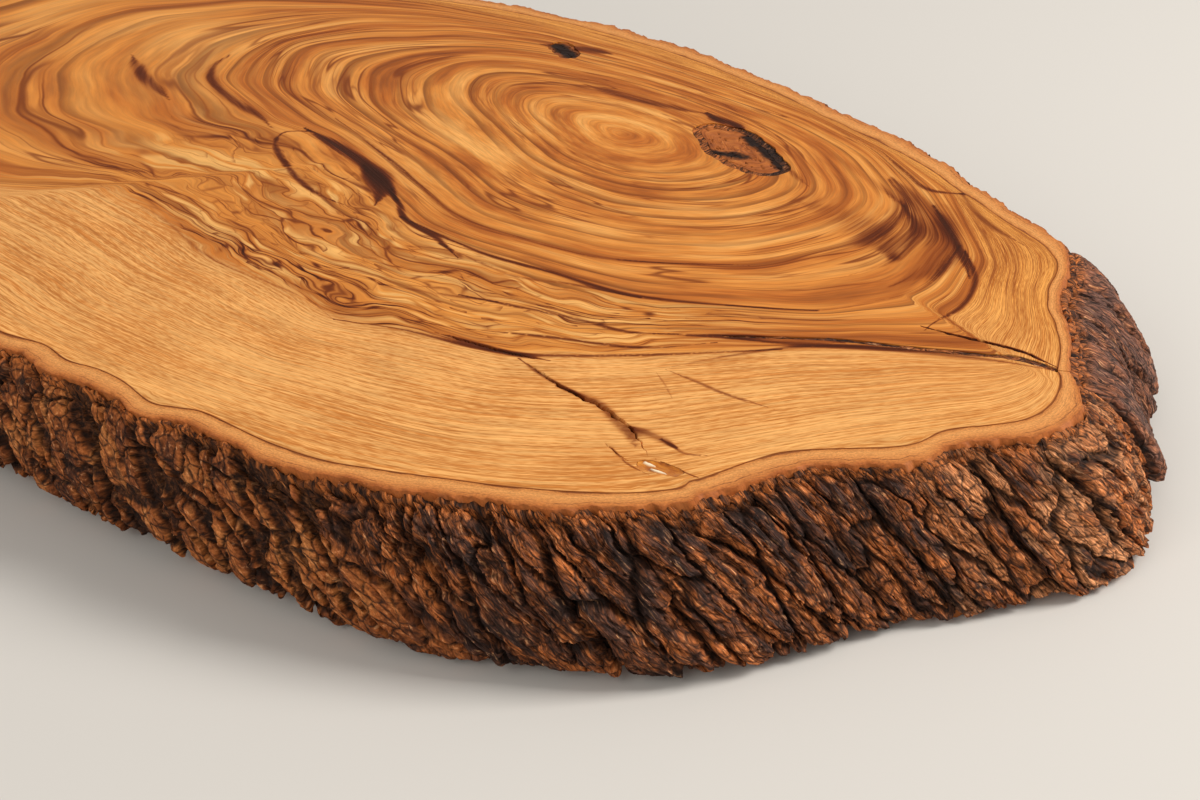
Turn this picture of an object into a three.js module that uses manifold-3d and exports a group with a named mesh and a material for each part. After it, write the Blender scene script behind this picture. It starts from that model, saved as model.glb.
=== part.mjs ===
// Live-edge olive wood cutting board: one slice of a leaning, fluted trunk with its bark left on.
// Millimetres, +Z up. The board lies on z = 0, and +X points to the end that has the notch.
import * as THREE from 'three';
import { mergeVertices } from 'three/addons/utils/BufferGeometryUtils.js';
import Module from 'manifold-3d';

// The wood, measured on the top face and without its bark
const WOOD_LENGTH = 321;
const WOOD_WIDTH = 189;
const THICKNESS = 30;
// The trunk leaned: its sides run this far along X and Y on the way down to the rest face
const LEAN_X = 10;
const LEAN_Y = 5;
// It also had spiral grain: on that way down, the plates of crust shift this far round the rim
const SPIRAL_SHIFT = 9;
// Clearance wherever two pieces part
const PARTING_GAP = 0.3;

// Inner bark, the smooth band round the wood
const INNER_BARK = 4.7;
// Outer bark, thickest measure of the crust on each stretch of the rim
const FRONT_CRUST = 6;
const CORNER_CRUST = 8;
const NOSE_CRUST = 5.5;
const REAR_LOBE_CRUST = 8;
const BACK_CRUST = 4;
const FAR_END_CRUST = 5.5;
// The crust stops short of the sawn faces, above and below
const CRUST_TOP_DROP = 0.5;
const CRUST_FOOT_LIFT = 0.8;
// Width of the fissure between two plates of crust, at its floor
const FISSURE = 0.8;

// Dead branch knot with its bark sleeve, the small black knot and the gum pocket
const BRANCH_KNOT_LENGTH = 27;
const BRANCH_KNOT_WIDTH = 11;
const BRANCH_KNOT_DEPTH = 22;
const KNOT_SLEEVE = 1.8;
const PIN_KNOT_LENGTH = 12;
const PIN_KNOT_WIDTH = 6;
const PIN_KNOT_DEPTH = 16;
const GUM_LENGTH = 9;
const GUM_WIDTH = 3.6;
const GUM_DEPTH = 5;
// Drying crack, open at the top face
const CRACK_WIDTH = 1.3;
const CRACK_DEPTH = 9;
// Bark that grew in between the two lobes
const SEAM_BARK = 1.6;

// How finely curves are stepped
const RIM_STEPS = 150;
const STEPS_PER_STATION = 20;
const INNER_BARK_STEP = 6;
const PLATE_STEPS = 9;
const RIBBON_STEPS = 14;
const ELLIPSE_SEGMENTS = 28;
const NORMAL_REACH = 5;
// Cutters stand this far proud of what they cut
const CUT_COVER = 2;

// The wood's outline as shares of half the length and half the width, counter-clockwise seen from above.
// The rim has six stretches, and each lists the stations from its own start to where the next one starts
const STRETCHES = [
  {
    name: 'front', plates: 5, crust: FRONT_CRUST,
    stations: [[-0.296, -0.963], [-0.02, -0.995], [0.134, -0.99], [0.296, -0.968]],
  },
  {
    name: 'corner', plates: 4, crust: CORNER_CRUST,
    stations: [[0.439, -0.937], [0.558, -0.878], [0.682, -0.772], [0.763, -0.656]],
  },
  {
    name: 'nose', plates: 4, crust: NOSE_CRUST,
    stations: [[0.819, -0.487], [0.888, -0.286], [0.95, -0.138], [1.0, 0.01], [0.994, 0.116]],
  },
  {
    name: 'rear_lobe', plates: 3, crust: REAR_LOBE_CRUST,
    stations: [
      [0.966, 0.196], [0.941, 0.286], [0.894, 0.381], [0.86, 0.466], [0.847, 0.55], [0.822, 0.619],
    ],
  },
  {
    name: 'back', plates: 7, crust: BACK_CRUST,
    stations: [
      [0.769, 0.661], [0.695, 0.714], [0.576, 0.804], [0.452, 0.878], [0.271, 0.95],
      [0.109, 0.99], [-0.084, 1.0], [-0.259, 0.956], [-0.421, 0.862],
    ],
  },
  {
    name: 'far_end', plates: 6, crust: FAR_END_CRUST,
    stations: [
      [-0.607, 0.7], [-0.794, 0.468], [-0.944, 0.16], [-1.0, -0.148],
      [-0.944, -0.444], [-0.788, -0.698], [-0.564, -0.868],
    ],
  },
];
const STATIONS = STRETCHES.flatMap(({ stations }) => stations);
// The rear lobe starts in the notch
const NOTCH = STRETCHES.find(({ name }) => name === 'rear_lobe').stations[0];

// Section of the crust from foot to top: share of its height, share of its thickness
const CRUST_SECTION = [
  [0, 0.62], [0.08, 0.9], [0.25, 1], [0.55, 0.93], [0.8, 0.72], [0.93, 0.42], [1, 0.16],
];
// A plate is thin where a fissure bounds it, crowned between, and ribbed along the trunk
const PLATE_EDGE = 0.4;
const PLATE_CROWN = 0.6;
const PLATE_RIB = 0.13;
const RIBS_PER_PLATE = 2.5;
// How unevenly the fissures are spaced, as a share of a plate, and how fast that changes along the rim
const FISSURE_WANDER = 0.18;
const WANDER_TURN = 2.4;
// Share of its width that the grown-in bark loses on its way in, and that the crack keeps at its tips
const SEAM_TAPER = 0.75;
const CRACK_TIP = 0.1;

// Places on the top face, as shares of half the length and half the width
const BRANCH_KNOT_AT = [0.327, 0.635];
const BRANCH_KNOT_BEARING = THREE.MathUtils.degToRad(-23);
const PIN_KNOT_AT = [-0.088, 0.839];
const PIN_KNOT_BEARING = THREE.MathUtils.degToRad(-30);
const GUM_AT = [0.757, -0.567];
const GUM_BEARING = THREE.MathUtils.degToRad(14);
const CRACK_PATH = [[0.502, -0.433], [0.564, -0.458], [0.637, -0.47], [0.693, -0.504], [0.726, -0.547]];
const SEAM_PATH = [
  NOTCH, [0.918, 0.188], [0.88, 0.152], [0.811, 0.091], [0.741, 0.03],
  [0.686, -0.035], [0.631, -0.106],
];

const WOOD = { color: 0xd19a57, roughness: 0.5, metalness: 0 };
const BAST = { color: 0x93562f, roughness: 0.8, metalness: 0 };
const CRUST = { color: 0x5b3b2a, roughness: 0.95, metalness: 0 };
const KNOT = { color: 0x4a2a18, roughness: 0.6, metalness: 0 };
const GUM = { color: 0xb8701c, roughness: 0.2, metalness: 0 };

const wasm = await Module();
wasm.setup();

const board = new THREE.Group();

function addPiece(name, geometry, look) {
  const piece = new THREE.Mesh(geometry, new THREE.MeshStandardMaterial(look));
  piece.name = name;
  board.add(piece);
}

// A place on the top face in millimetres
function onTop([x, y]) {
  return new THREE.Vector2((x * WOOD_LENGTH) / 2, (y * WOOD_WIDTH) / 2);
}

function toSolid(geometry) {
  const bare = geometry.clone();
  bare.deleteAttribute('normal');
  bare.deleteAttribute('uv');
  const merged = mergeVertices(bare);
  const vertProperties = new Float32Array(merged.attributes.position.array);
  const triVerts = new Uint32Array(merged.index.array);
  return new wasm.Manifold(new wasm.Mesh({ numProp: 3, vertProperties, triVerts }));
}

function toGeometry(solid) {
  const { vertProperties, triVerts } = solid.getMesh();
  const geometry = new THREE.BufferGeometry();
  geometry.setAttribute('position', new THREE.BufferAttribute(vertProperties, 3));
  geometry.setIndex(new THREE.BufferAttribute(triVerts, 1));
  geometry.computeVertexNormals();
  return geometry;
}

function extrude(shape, depth) {
  return new THREE.ExtrudeGeometry(shape, { depth, bevelEnabled: false });
}

// Slants an upright piece along the trunk: its top stays put and its foot moves by the lean
function leanOver(geometry) {
  const shear = new THREE.Matrix4().makeShear(0, 0, 0, 0, -LEAN_X / THICKNESS, -LEAN_Y / THICKNESS);
  geometry.applyMatrix4(shear);
  return geometry.translate(LEAN_X, LEAN_Y, 0);
}

// The outline of the wood, and the place of each station as a share of the way round it
const outline = new THREE.CatmullRomCurve3(
  STATIONS.map((share) => new THREE.Vector3(onTop(share).x, onTop(share).y, 0)), true, 'centripetal');
outline.arcLengthDivisions = STATIONS.length * STEPS_PER_STATION;
const lengths = outline.getLengths();
const perimeter = lengths.at(-1);
const wayToStation = (station) => lengths[STATIONS.indexOf(station) * STEPS_PER_STATION] / perimeter;
const lap = (way) => way - Math.floor(way);

function outward(way) {
  const reach = NORMAL_REACH / perimeter;
  const along = outline.getPointAt(lap(way + reach)).sub(outline.getPointAt(lap(way - reach))).normalize();
  return new THREE.Vector3(along.y, -along.x, 0);
}

// A point on the rim: a share of the way round, a distance out from the wood and a height
function rimPoint(way, out, z) {
  const fall = 1 - z / THICKNESS;
  const lean = new THREE.Vector3(LEAN_X * fall, LEAN_Y * fall, z);
  return outline.getPointAt(lap(way)).addScaledVector(outward(way), out).add(lean);
}

// Where a stretch starts and ends. The last one ends where the outline closes
function stretchSpan(stretch) {
  const next = STRETCHES[STRETCHES.indexOf(stretch) + 1];
  return [wayToStation(stretch.stations[0]), next ? wayToStation(next.stations[0]) : 1];
}

// A closed body through sections of equal point counts that follow each other along the rim. A section goes
// up one side and down the other, and its two sides are laddered together at the body's ends
function loft(sections) {
  const count = sections[0].length;
  const positions = sections.flat().flatMap((point) => point.toArray());
  const faces = [];
  for (let s = 0; s + 1 < sections.length; s += 1) {
    for (let p = 0; p < count; p += 1) {
      const next = (p + 1) % count;
      const [a, b] = [s * count + p, s * count + next];
      const [c, d] = [b + count, a + count];
      faces.push(a, d, b, b, d, c);
    }
  }
  const last = (sections.length - 1) * count;
  for (let p = 0; p + 1 < count / 2; p += 1) {
    const [a, b, c, d] = [p, p + 1, count - 2 - p, count - 1 - p];
    faces.push(a, b, c, a, c, d);
    faces.push(last + a, last + c, last + b, last + a, last + d, last + c);
  }
  const geometry = new THREE.BufferGeometry();
  geometry.setAttribute('position', new THREE.Float32BufferAttribute(positions, 3));
  geometry.setIndex(faces);
  geometry.computeVertexNormals();
  return geometry;
}

function innerBark(stretch) {
  const [start, end] = stretchSpan(stretch);
  const trim = PARTING_GAP / 2 / perimeter;
  const steps = Math.ceil(((end - start) * perimeter) / INNER_BARK_STEP);
  const inside = PARTING_GAP;
  const outside = PARTING_GAP + INNER_BARK;
  const sections = [];
  for (let s = 0; s <= steps; s += 1) {
    const way = THREE.MathUtils.lerp(start + trim, end - trim, s / steps);
    sections.push([
      rimPoint(way, inside, 0), rimPoint(way, outside, 0),
      rimPoint(way, outside, THICKNESS), rimPoint(way, inside, THICKNESS),
    ]);
  }
  return loft(sections);
}

// Share of the crust's thickness across a plate, from fissure to fissure
function plateForm(across, plate) {
  const crown = Math.sqrt(Math.sin(Math.PI * across));
  const ribs = PLATE_RIB * Math.sin(2 * Math.PI * RIBS_PER_PLATE * across + plate) * crown;
  return PLATE_EDGE + PLATE_CROWN * crown + ribs;
}

function crustSection(way, thickness) {
  const seat = INNER_BARK + 2 * PARTING_GAP;
  const height = THICKNESS - CRUST_TOP_DROP - CRUST_FOOT_LIFT;
  const heightAt = (share) => CRUST_FOOT_LIFT + share * height;
  const spiral = (z) => (SPIRAL_SHIFT * (1 - z / THICKNESS)) / perimeter;
  const crustPoint = (share, out) => rimPoint(way + spiral(heightAt(share)), out, heightAt(share));
  const face = CRUST_SECTION.map(([share, bulge]) => crustPoint(share, seat + bulge * thickness));
  const back = CRUST_SECTION.map(([share]) => crustPoint(share, seat));
  return [...face, ...back.reverse()];
}

// Where the fissure after a plate lies, as a share of its stretch. The ends of a stretch stay put
function fissureAt(plate, plates) {
  const inside = plate > 0 && plate < plates;
  const wander = inside ? FISSURE_WANDER * Math.sin(WANDER_TURN * plate + plates) : 0;
  return (plate + wander) / plates;
}

function crustPlate(stretch, plate) {
  const [start, end] = stretchSpan(stretch);
  const trim = FISSURE / 2 / perimeter;
  const from = THREE.MathUtils.lerp(start, end, fissureAt(plate, stretch.plates)) + trim;
  const to = THREE.MathUtils.lerp(start, end, fissureAt(plate + 1, stretch.plates)) - trim;
  const sections = [];
  for (let s = 0; s <= PLATE_STEPS; s += 1) {
    const across = s / PLATE_STEPS;
    const thickness = stretch.crust * plateForm(across, plate);
    sections.push(crustSection(THREE.MathUtils.lerp(from, to, across), thickness));
  }
  return loft(sections);
}

function ellipse(length, width, bearing) {
  const curve = new THREE.EllipseCurve(0, 0, length / 2, width / 2, 0, 2 * Math.PI, false, bearing);
  return new THREE.Shape(curve.getPoints(ELLIPSE_SEGMENTS).slice(0, ELLIPSE_SEGMENTS));
}

// A plug let into the top face, flush with it. Grown, it is the cutter for its own socket
function inlay({ at, length, width, depth, bearing }, grow = 0, cover = 0) {
  const place = onTop(at);
  const body = extrude(ellipse(length + 2 * grow, width + 2 * grow, bearing), depth + grow + cover);
  return body.translate(place.x, place.y, THICKNESS - depth - grow);
}

// A flat ribbon along a path, its width given by a share of the way
function ribbon(path, widthAt) {
  const line = new THREE.SplineCurve(path);
  const sides = [[], []];
  for (let s = 0; s <= RIBBON_STEPS; s += 1) {
    const share = s / RIBBON_STEPS;
    const point = line.getPoint(share);
    const along = line.getTangent(share);
    const across = new THREE.Vector2(-along.y, along.x).multiplyScalar(widthAt(share) / 2);
    sides[0].push(point.clone().sub(across));
    sides[1].unshift(point.clone().add(across));
  }
  return new THREE.Shape([...sides[0], ...sides[1]]);
}

// The sheet of grown-in bark narrows towards its inner end. Its outer end stops at the wood's edge
const seamWidth = (share) => SEAM_BARK * (1 - SEAM_TAPER * share * share);

function seamPath(start) {
  const [mouth, ...rest] = SEAM_PATH.map(onTop);
  const outwards = mouth.clone().sub(rest[0]).normalize();
  return [mouth.addScaledVector(outwards, start), ...rest];
}

function includedBark() {
  return leanOver(extrude(ribbon(seamPath(-PARTING_GAP), seamWidth), THICKNESS));
}

// The slot for it opens at the notch and runs past the sheet's inner end
function seamSlot() {
  const path = seamPath(CUT_COVER);
  const [before, end] = path.slice(-2);
  path[path.length - 1] = end.clone().add(end.clone().sub(before).setLength(PARTING_GAP));
  const slotWidth = (share) => seamWidth(share) + 2 * PARTING_GAP;
  const slot = extrude(ribbon(path, slotWidth), THICKNESS + 2 * CUT_COVER);
  return leanOver(slot.translate(0, 0, -CUT_COVER));
}

function crack() {
  const lens = (share) => CRACK_WIDTH * THREE.MathUtils.lerp(CRACK_TIP, 1, Math.sin(Math.PI * share));
  const groove = extrude(ribbon(CRACK_PATH.map(onTop), lens), CRACK_DEPTH + CUT_COVER);
  return groove.translate(0, 0, THICKNESS - CRACK_DEPTH);
}

const branchKnot = {
  at: BRANCH_KNOT_AT,
  length: BRANCH_KNOT_LENGTH,
  width: BRANCH_KNOT_WIDTH,
  depth: BRANCH_KNOT_DEPTH,
  bearing: BRANCH_KNOT_BEARING,
};
const pinKnot = {
  at: PIN_KNOT_AT,
  length: PIN_KNOT_LENGTH,
  width: PIN_KNOT_WIDTH,
  depth: PIN_KNOT_DEPTH,
  bearing: PIN_KNOT_BEARING,
};
const gum = { at: GUM_AT, length: GUM_LENGTH, width: GUM_WIDTH, depth: GUM_DEPTH, bearing: GUM_BEARING };

const sleeveInside = PARTING_GAP;
const sleeveOutside = PARTING_GAP + KNOT_SLEEVE;

// The sleeve is a tube round the knot, open at both ends
function knotSleeve() {
  const bore = inlay(branchKnot, sleeveInside, CUT_COVER);
  const longBore = bore.clone().translate(0, 0, -CUT_COVER);
  const tube = inlay(branchKnot, sleeveOutside);
  return toGeometry(toSolid(tube).subtract(toSolid(longBore)).subtract(toSolid(bore)));
}

function oliveSlab() {
  const points = outline.getSpacedPoints(RIM_STEPS).slice(0, RIM_STEPS);
  const face = new THREE.Shape(points.map(({ x, y }) => new THREE.Vector2(x, y)));
  const blank = leanOver(extrude(face, THICKNESS));
  const cutters = [
    inlay(branchKnot, sleeveOutside + PARTING_GAP, CUT_COVER),
    inlay(pinKnot, PARTING_GAP, CUT_COVER),
    inlay(gum, PARTING_GAP, CUT_COVER),
    seamSlot(),
    crack(),
  ];
  return toGeometry(cutters.reduce((wood, cutter) => wood.subtract(toSolid(cutter)), toSolid(blank)));
}

addPiece('olive_slab', oliveSlab(), WOOD);
for (const stretch of STRETCHES) {
  addPiece(`inner_bark_${stretch.name}`, innerBark(stretch), BAST);
  for (let plate = 0; plate < stretch.plates; plate += 1) {
    addPiece(`${stretch.name}_bark_${plate + 1}`, crustPlate(stretch, plate), CRUST);
  }
}
addPiece('included_bark', includedBark(), CRUST);
addPiece('branch_knot', inlay(branchKnot), KNOT);
addPiece('knot_bark_sleeve', knotSleeve(), CRUST);
addPiece('pin_knot', inlay(pinKnot), KNOT);
addPiece('gum_pocket', inlay(gum), GUM);

// The origin is the middle of the rest face's box
const middle = new THREE.Box3().setFromObject(board).getCenter(new THREE.Vector3());
board.position.set(-middle.x, -middle.y, 0);

export default board;
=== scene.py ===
# %% [markdown]
# # A live-edge olive wood cutting board
# The board is one slice of a leaning, fluted olive trunk. Its edge was never squared, so the
# inner bark and the rugged outer bark are still on it. This lesson dresses the plain solids of
# the construction model: the wood gets its figure, the bark its fissures and strands.
# Everything is worked out in millimetres and handed to Blender in metres.

# %% Load the frame
import math
import bmesh
import bpy
import numpy as np
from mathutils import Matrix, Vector
from mathutils.geometry import delaunay_2d_cdt
from mathutils.kdtree import KDTree


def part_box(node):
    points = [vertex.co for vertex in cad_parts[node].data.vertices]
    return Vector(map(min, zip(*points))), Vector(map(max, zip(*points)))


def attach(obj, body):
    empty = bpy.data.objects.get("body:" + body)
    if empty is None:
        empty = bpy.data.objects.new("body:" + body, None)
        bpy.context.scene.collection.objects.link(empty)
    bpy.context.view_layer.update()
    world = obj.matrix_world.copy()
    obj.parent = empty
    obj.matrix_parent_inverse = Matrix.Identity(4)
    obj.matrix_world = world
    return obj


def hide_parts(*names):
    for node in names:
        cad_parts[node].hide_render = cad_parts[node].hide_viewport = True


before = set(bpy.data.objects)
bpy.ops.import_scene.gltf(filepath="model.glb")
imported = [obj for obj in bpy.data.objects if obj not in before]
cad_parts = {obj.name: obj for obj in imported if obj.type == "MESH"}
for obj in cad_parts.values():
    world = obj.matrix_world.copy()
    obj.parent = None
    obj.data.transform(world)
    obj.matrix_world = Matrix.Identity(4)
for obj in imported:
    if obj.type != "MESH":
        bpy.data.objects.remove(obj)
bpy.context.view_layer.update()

MM = 0.001
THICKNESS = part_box("olive_slab")[1].z / MM
print("the frame has", len(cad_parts), "nodes, and the board is", round(THICKNESS, 2), "mm thick")

# %% [markdown]
# ## Camera, floor and light
# A photographer would stand a little above the board and look down at one bark corner with a
# short tele lens. The camera's place was worked out once from the board's edges in the picture.
# A pale floor keeps the shadow. One large lamp stands to the right and another, weaker one, in
# front: bark needs light from the side, because its relief shows only by its shadows.

# %% Camera
CAMERA_AT = (323.1, -319.2, 236.6)
CAMERA_LOOKS = (-0.5567, 0.6634, -0.5)
LENS = 70.35
SENSOR = 36.0


def place_camera():
    lens = bpy.data.cameras.new("camera")
    lens.sensor_fit = "HORIZONTAL"
    lens.sensor_width = SENSOR
    lens.lens = LENS
    camera = bpy.data.objects.new("camera", lens)
    camera.location = Vector(CAMERA_AT) * MM
    camera.rotation_euler = Vector(CAMERA_LOOKS).to_track_quat("-Z", "Y").to_euler()
    bpy.context.scene.collection.objects.link(camera)
    bpy.context.scene.camera = camera
    bpy.context.scene.view_settings.view_transform = "Standard"


place_camera()
print("camera stands", round(Vector(CAMERA_AT).length), "mm from the middle of the board")


# %% Colours as the eye sees them
def shade(red, green, blue):
    """A colour given in everyday screen steps from 0 to 255, as the linear numbers of a shader."""
    steps = np.array([red, green, blue]) / 255
    linear = np.where(steps <= 0.04045, steps / 12.92, ((steps + 0.055) / 1.055) ** 2.4)
    return (*linear.tolist(), 1.0)


def new_finish(name):
    """An empty node material with its shader and output, and the shader's own node."""
    finish = bpy.data.materials.new(name)
    finish.use_nodes = True
    tree = finish.node_tree
    return finish, tree, tree.nodes["Principled BSDF"]


# %% Floor
FLOOR_SIZE = 6.0
FLOOR_COLOUR = shade(213, 209, 203)
FLOOR_ROUGHNESS = 0.8


def lay_floor():
    mesh = bpy.data.meshes.new("floor")
    half = FLOOR_SIZE / 2
    corners = [(-half, -half, 0), (half, -half, 0), (half, half, 0), (-half, half, 0)]
    mesh.from_pydata(corners, [], [(0, 1, 2, 3)])
    finish, _, shader = new_finish("floor_paint")
    shader.inputs["Base Color"].default_value = FLOOR_COLOUR
    shader.inputs["Roughness"].default_value = FLOOR_ROUGHNESS
    mesh.materials.append(finish)
    floor = bpy.data.objects.new("floor", mesh)
    bpy.context.scene.collection.objects.link(floor)


lay_floor()
print("floor:", FLOOR_SIZE, "m square")

# %% Lamps
SKY_COLOUR = (1.0, 0.97, 0.93)
SKY_STRENGTH = 0.41
# name: place in metres, size in metres, watts
LAMPS = {
    "window_right": ((0.85, 0.62, 0.8), 0.5, 15.6),
    "front_fill": ((0.15, -1.25, 0.75), 0.9, 7.0),
}


def hang_lamp(name, place, size, watts):
    lamp = bpy.data.lights.new(name, "AREA")
    lamp.size = size
    lamp.energy = watts
    lamp.color = SKY_COLOUR
    holder = bpy.data.objects.new(name, lamp)
    holder.location = place
    holder.rotation_euler = (-Vector(place)).to_track_quat("-Z", "Y").to_euler()
    bpy.context.scene.collection.objects.link(holder)


sky = bpy.data.worlds.new("studio")
sky.use_nodes = True
sky.node_tree.nodes["Background"].inputs["Color"].default_value = (*SKY_COLOUR, 1.0)
sky.node_tree.nodes["Background"].inputs["Strength"].default_value = SKY_STRENGTH
bpy.context.scene.world = sky
for lamp_name, (place, size, watts) in LAMPS.items():
    hang_lamp(lamp_name, place, size, watts)
print("lamps:", ", ".join(LAMPS))

# %% [markdown]
# ## Measuring the rim
# Everything round the edge of a live-edge board follows one line: the cambium, where the wood
# stops. It could be drawn again here, but the solids already hold it. So the outer edge of the
# slab's top face is walked corner by corner, the slot of the grown-in bark is left out, and the
# corners are softened into a smooth closed line. Places on the rim are then a distance along
# that line, a distance out from it, and a height.

# %% Walk the edge of a sawn face
WELD = 1e-6
LEVEL = 1e-5


def sawn_edge(name, upward=1):
    """The longest edge line of a node's top or bottom face: corners from the rightmost one on, in mm."""
    work = bmesh.new()
    work.from_mesh(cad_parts[name].data)
    bmesh.ops.remove_doubles(work, verts=work.verts, dist=WELD)
    height = max(vert.co.z * upward for vert in work.verts)
    flat = {face for face in work.faces if all(v.co.z * upward > height - LEVEL for v in face.verts)}
    follow = {}
    for face in flat:
        for corner in face.loops:
            if not all(other in flat for other in corner.edge.link_faces):
                follow[corner.vert] = corner.link_loop_next.vert
    lines = []
    while follow:
        line = [next(iter(follow))]
        while line[-1] in follow:
            line.append(follow.pop(line[-1]))
        lines.append([tuple(vert.co.xy / MM) for vert in line[:-1]])
    work.free()
    longest = np.array(max(lines, key=len))
    return np.roll(longest, -longest[:, 0].argmax(), axis=0)


# %% Smooth closed lines
def evenly(points, step):
    """A closed line through the points, cut into equal steps of about the given length."""
    closed = np.vstack([points, points[:1]])
    lengths = np.concatenate([[0], np.cumsum(np.hypot(*np.diff(closed, axis=0).T))])
    ways = np.linspace(0, lengths[-1], round(lengths[-1] / step), endpoint=False)
    return np.stack([np.interp(ways, lengths, closed[:, axis]) for axis in (0, 1)], axis=1)


def soften(line, reach, step):
    """Rounds a closed line off, as a spokeshave would, by about the given reach."""
    waves = np.fft.rfftfreq(len(line), step)
    keep = np.exp(-2 * (np.pi * reach * waves) ** 2)
    return np.fft.irfft(np.fft.rfft(line, axis=0) * keep[:, None], len(line), axis=0)


# %% The seam of grown-in bark
SLOT_REACH = 3.0


def near_any(points, others, reach):
    gaps = np.hypot(*(points[:, None] - others[None]).transpose(2, 0, 1))
    return gaps.min(axis=1) < reach


slab_edge = sawn_edge("olive_slab")
sheet_edge = sawn_edge("included_bark")
in_slot = near_any(slab_edge, sheet_edge, SLOT_REACH)
after_slot = next(i for i in range(len(in_slot)) if in_slot[i - 1] and not in_slot[i])
slab_edge = np.roll(slab_edge, -after_slot, axis=0)
in_slot = np.roll(in_slot, -after_slot)
slot_edge = slab_edge[in_slot]
notch = (slot_edge[0] + slot_edge[-1]) / 2
print("the slot has", len(slot_edge), "corners and opens at", notch.round(1))

# %% The rim line
RIM_STEP = 0.25
RIM_ROUNDING = 2.5
NORMAL_REACH = 5.0

rim_line = evenly(np.vstack([slab_edge[~in_slot], notch]), RIM_STEP)
RIM_LENGTH = np.hypot(*(rim_line - np.roll(rim_line, 1, axis=0)).T).sum()
rim_line = soften(rim_line, RIM_ROUNDING, RIM_STEP)
reach = round(NORMAL_REACH / RIM_STEP)
along = np.roll(rim_line, -reach, axis=0) - np.roll(rim_line, reach, axis=0)
rim_out = np.stack([along[:, 1], -along[:, 0]], axis=1) / np.hypot(*along.T)[:, None]
# The trunk leaned, so the foot of the slab lies this far from its top
LEAN = sawn_edge("olive_slab", -1).min(axis=0) - slab_edge.min(axis=0)
print("rim:", round(RIM_LENGTH), "mm long, and the foot leans by", LEAN.round(1), "mm")


# %% Places on the rim
def on_rim(way, out, z):
    """Points in space from places on the rim, all in millimetres."""
    way, out, z = np.broadcast_arrays(way, out, z)
    spot = (way / RIM_LENGTH * len(rim_line)) % len(rim_line)
    before = spot.astype(int) % len(rim_line)
    after = (before + 1) % len(rim_line)
    part = (spot - np.floor(spot))[..., None]
    edge = rim_line[before] * (1 - part) + rim_line[after] * part
    outward = rim_out[before] * (1 - part) + rim_out[after] * part
    flat = edge + outward * out[..., None] + LEAN * (1 - z / THICKNESS)[..., None]
    return np.concatenate([flat, z[..., None]], axis=-1)


rim_tree = KDTree(len(rim_line))
for index, (x, y) in enumerate(rim_line):
    rim_tree.insert((x, y, 0), index)
rim_tree.balance()


def from_rim(points):
    """The other way: how far along the rim points lie, and how far out from it."""
    straight = points[:, :2] - LEAN * (1 - points[:, 2:] / THICKNESS)
    found = [rim_tree.find((x, y, 0)) for x, y in straight]
    index = np.array([hit[1] for hit in found])
    out = ((straight - rim_line[index]) * rim_out[index]).sum(axis=1)
    return index * RIM_LENGTH / len(rim_line), out


def node_points(name):
    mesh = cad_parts[name].data
    points = np.empty(len(mesh.vertices) * 3, np.float32)
    mesh.vertices.foreach_get("co", points)
    return points.reshape(-1, 3) / MM


# %% [markdown]
# ## Noise in plain numbers
# Blender's texture nodes make noise for colours. A shape needs numbers before there is a mesh,
# so three small helpers make them here: smooth bumps, the same bumps stacked in ever smaller
# sizes, and flakes, which split a surface into cells as bark splits into plates. They give the
# same numbers on every run. Along the rim they can repeat after a whole lap, so nothing jumps.

# %% Repeatable chance
# large odd numbers and bit shifts that scatter the cells well
HASH_STEPS = (374761393, 668265263)
SEED_STEP = 97531357
HASH_SHIFTS = (13, 11)
LAST_SHIFT = 16
HASH_FACTOR = 1274126177
HASH_TOP = 0x7FFFFFFF


def chance(seed, column, row):
    """A number from 0 to 1 for each whole-numbered cell, always the same one."""
    number = np.asarray(column, np.int64) * HASH_STEPS[0] + np.asarray(row, np.int64) * HASH_STEPS[1]
    number = number + np.int64(seed) * SEED_STEP
    for shift in HASH_SHIFTS:
        number = ((number ^ (number >> shift)) * HASH_FACTOR) & HASH_TOP
    return (number ^ (number >> LAST_SHIFT)) / HASH_TOP


def ramp(low, high, values):
    """0 up to low, 1 from high, and an easy curve between."""
    share = np.clip((values - low) / (high - low), 0, 1)
    return share * share * (3 - 2 * share)


# %% Bumps
BUMP_HEIGHT = 1.5


def bumps(seed, x, y, lap=0):
    """Smooth noise from about -1 to 1, one bump to a unit. It repeats along x after a lap of units."""
    column, row = np.floor(x), np.floor(y)
    across, up = x - column, y - row
    total = np.zeros(np.shape(x))
    for i in (0, 1):
        for j in (0, 1):
            cell = (column + i) % lap if lap else column + i
            turn = 2 * np.pi * chance(seed, cell, row + j)
            slope = np.cos(turn) * (across - i) + np.sin(turn) * (up - j)
            weight_x = ramp(0, 1, across if i else 1 - across)
            weight_y = ramp(0, 1, up if j else 1 - up)
            total += slope * weight_x * weight_y
    return total * BUMP_HEIGHT


def rough(seed, x, y, lap=0, layers=4):
    """Bumps with smaller bumps on them, each layer half as wide and half as high."""
    total = np.zeros(np.shape(x))
    for layer in range(layers):
        size = 2 ** layer
        total += bumps(seed + layer, x * size, y * size, lap * size) / size
    return total


def rough_at(seed, places, size):
    """The same at places on the board, with bumps of a size in millimetres."""
    return rough(seed, places[..., 0] / size, places[..., 1] / size)


# %% Flakes
FAR_OFF = 9.0


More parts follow.
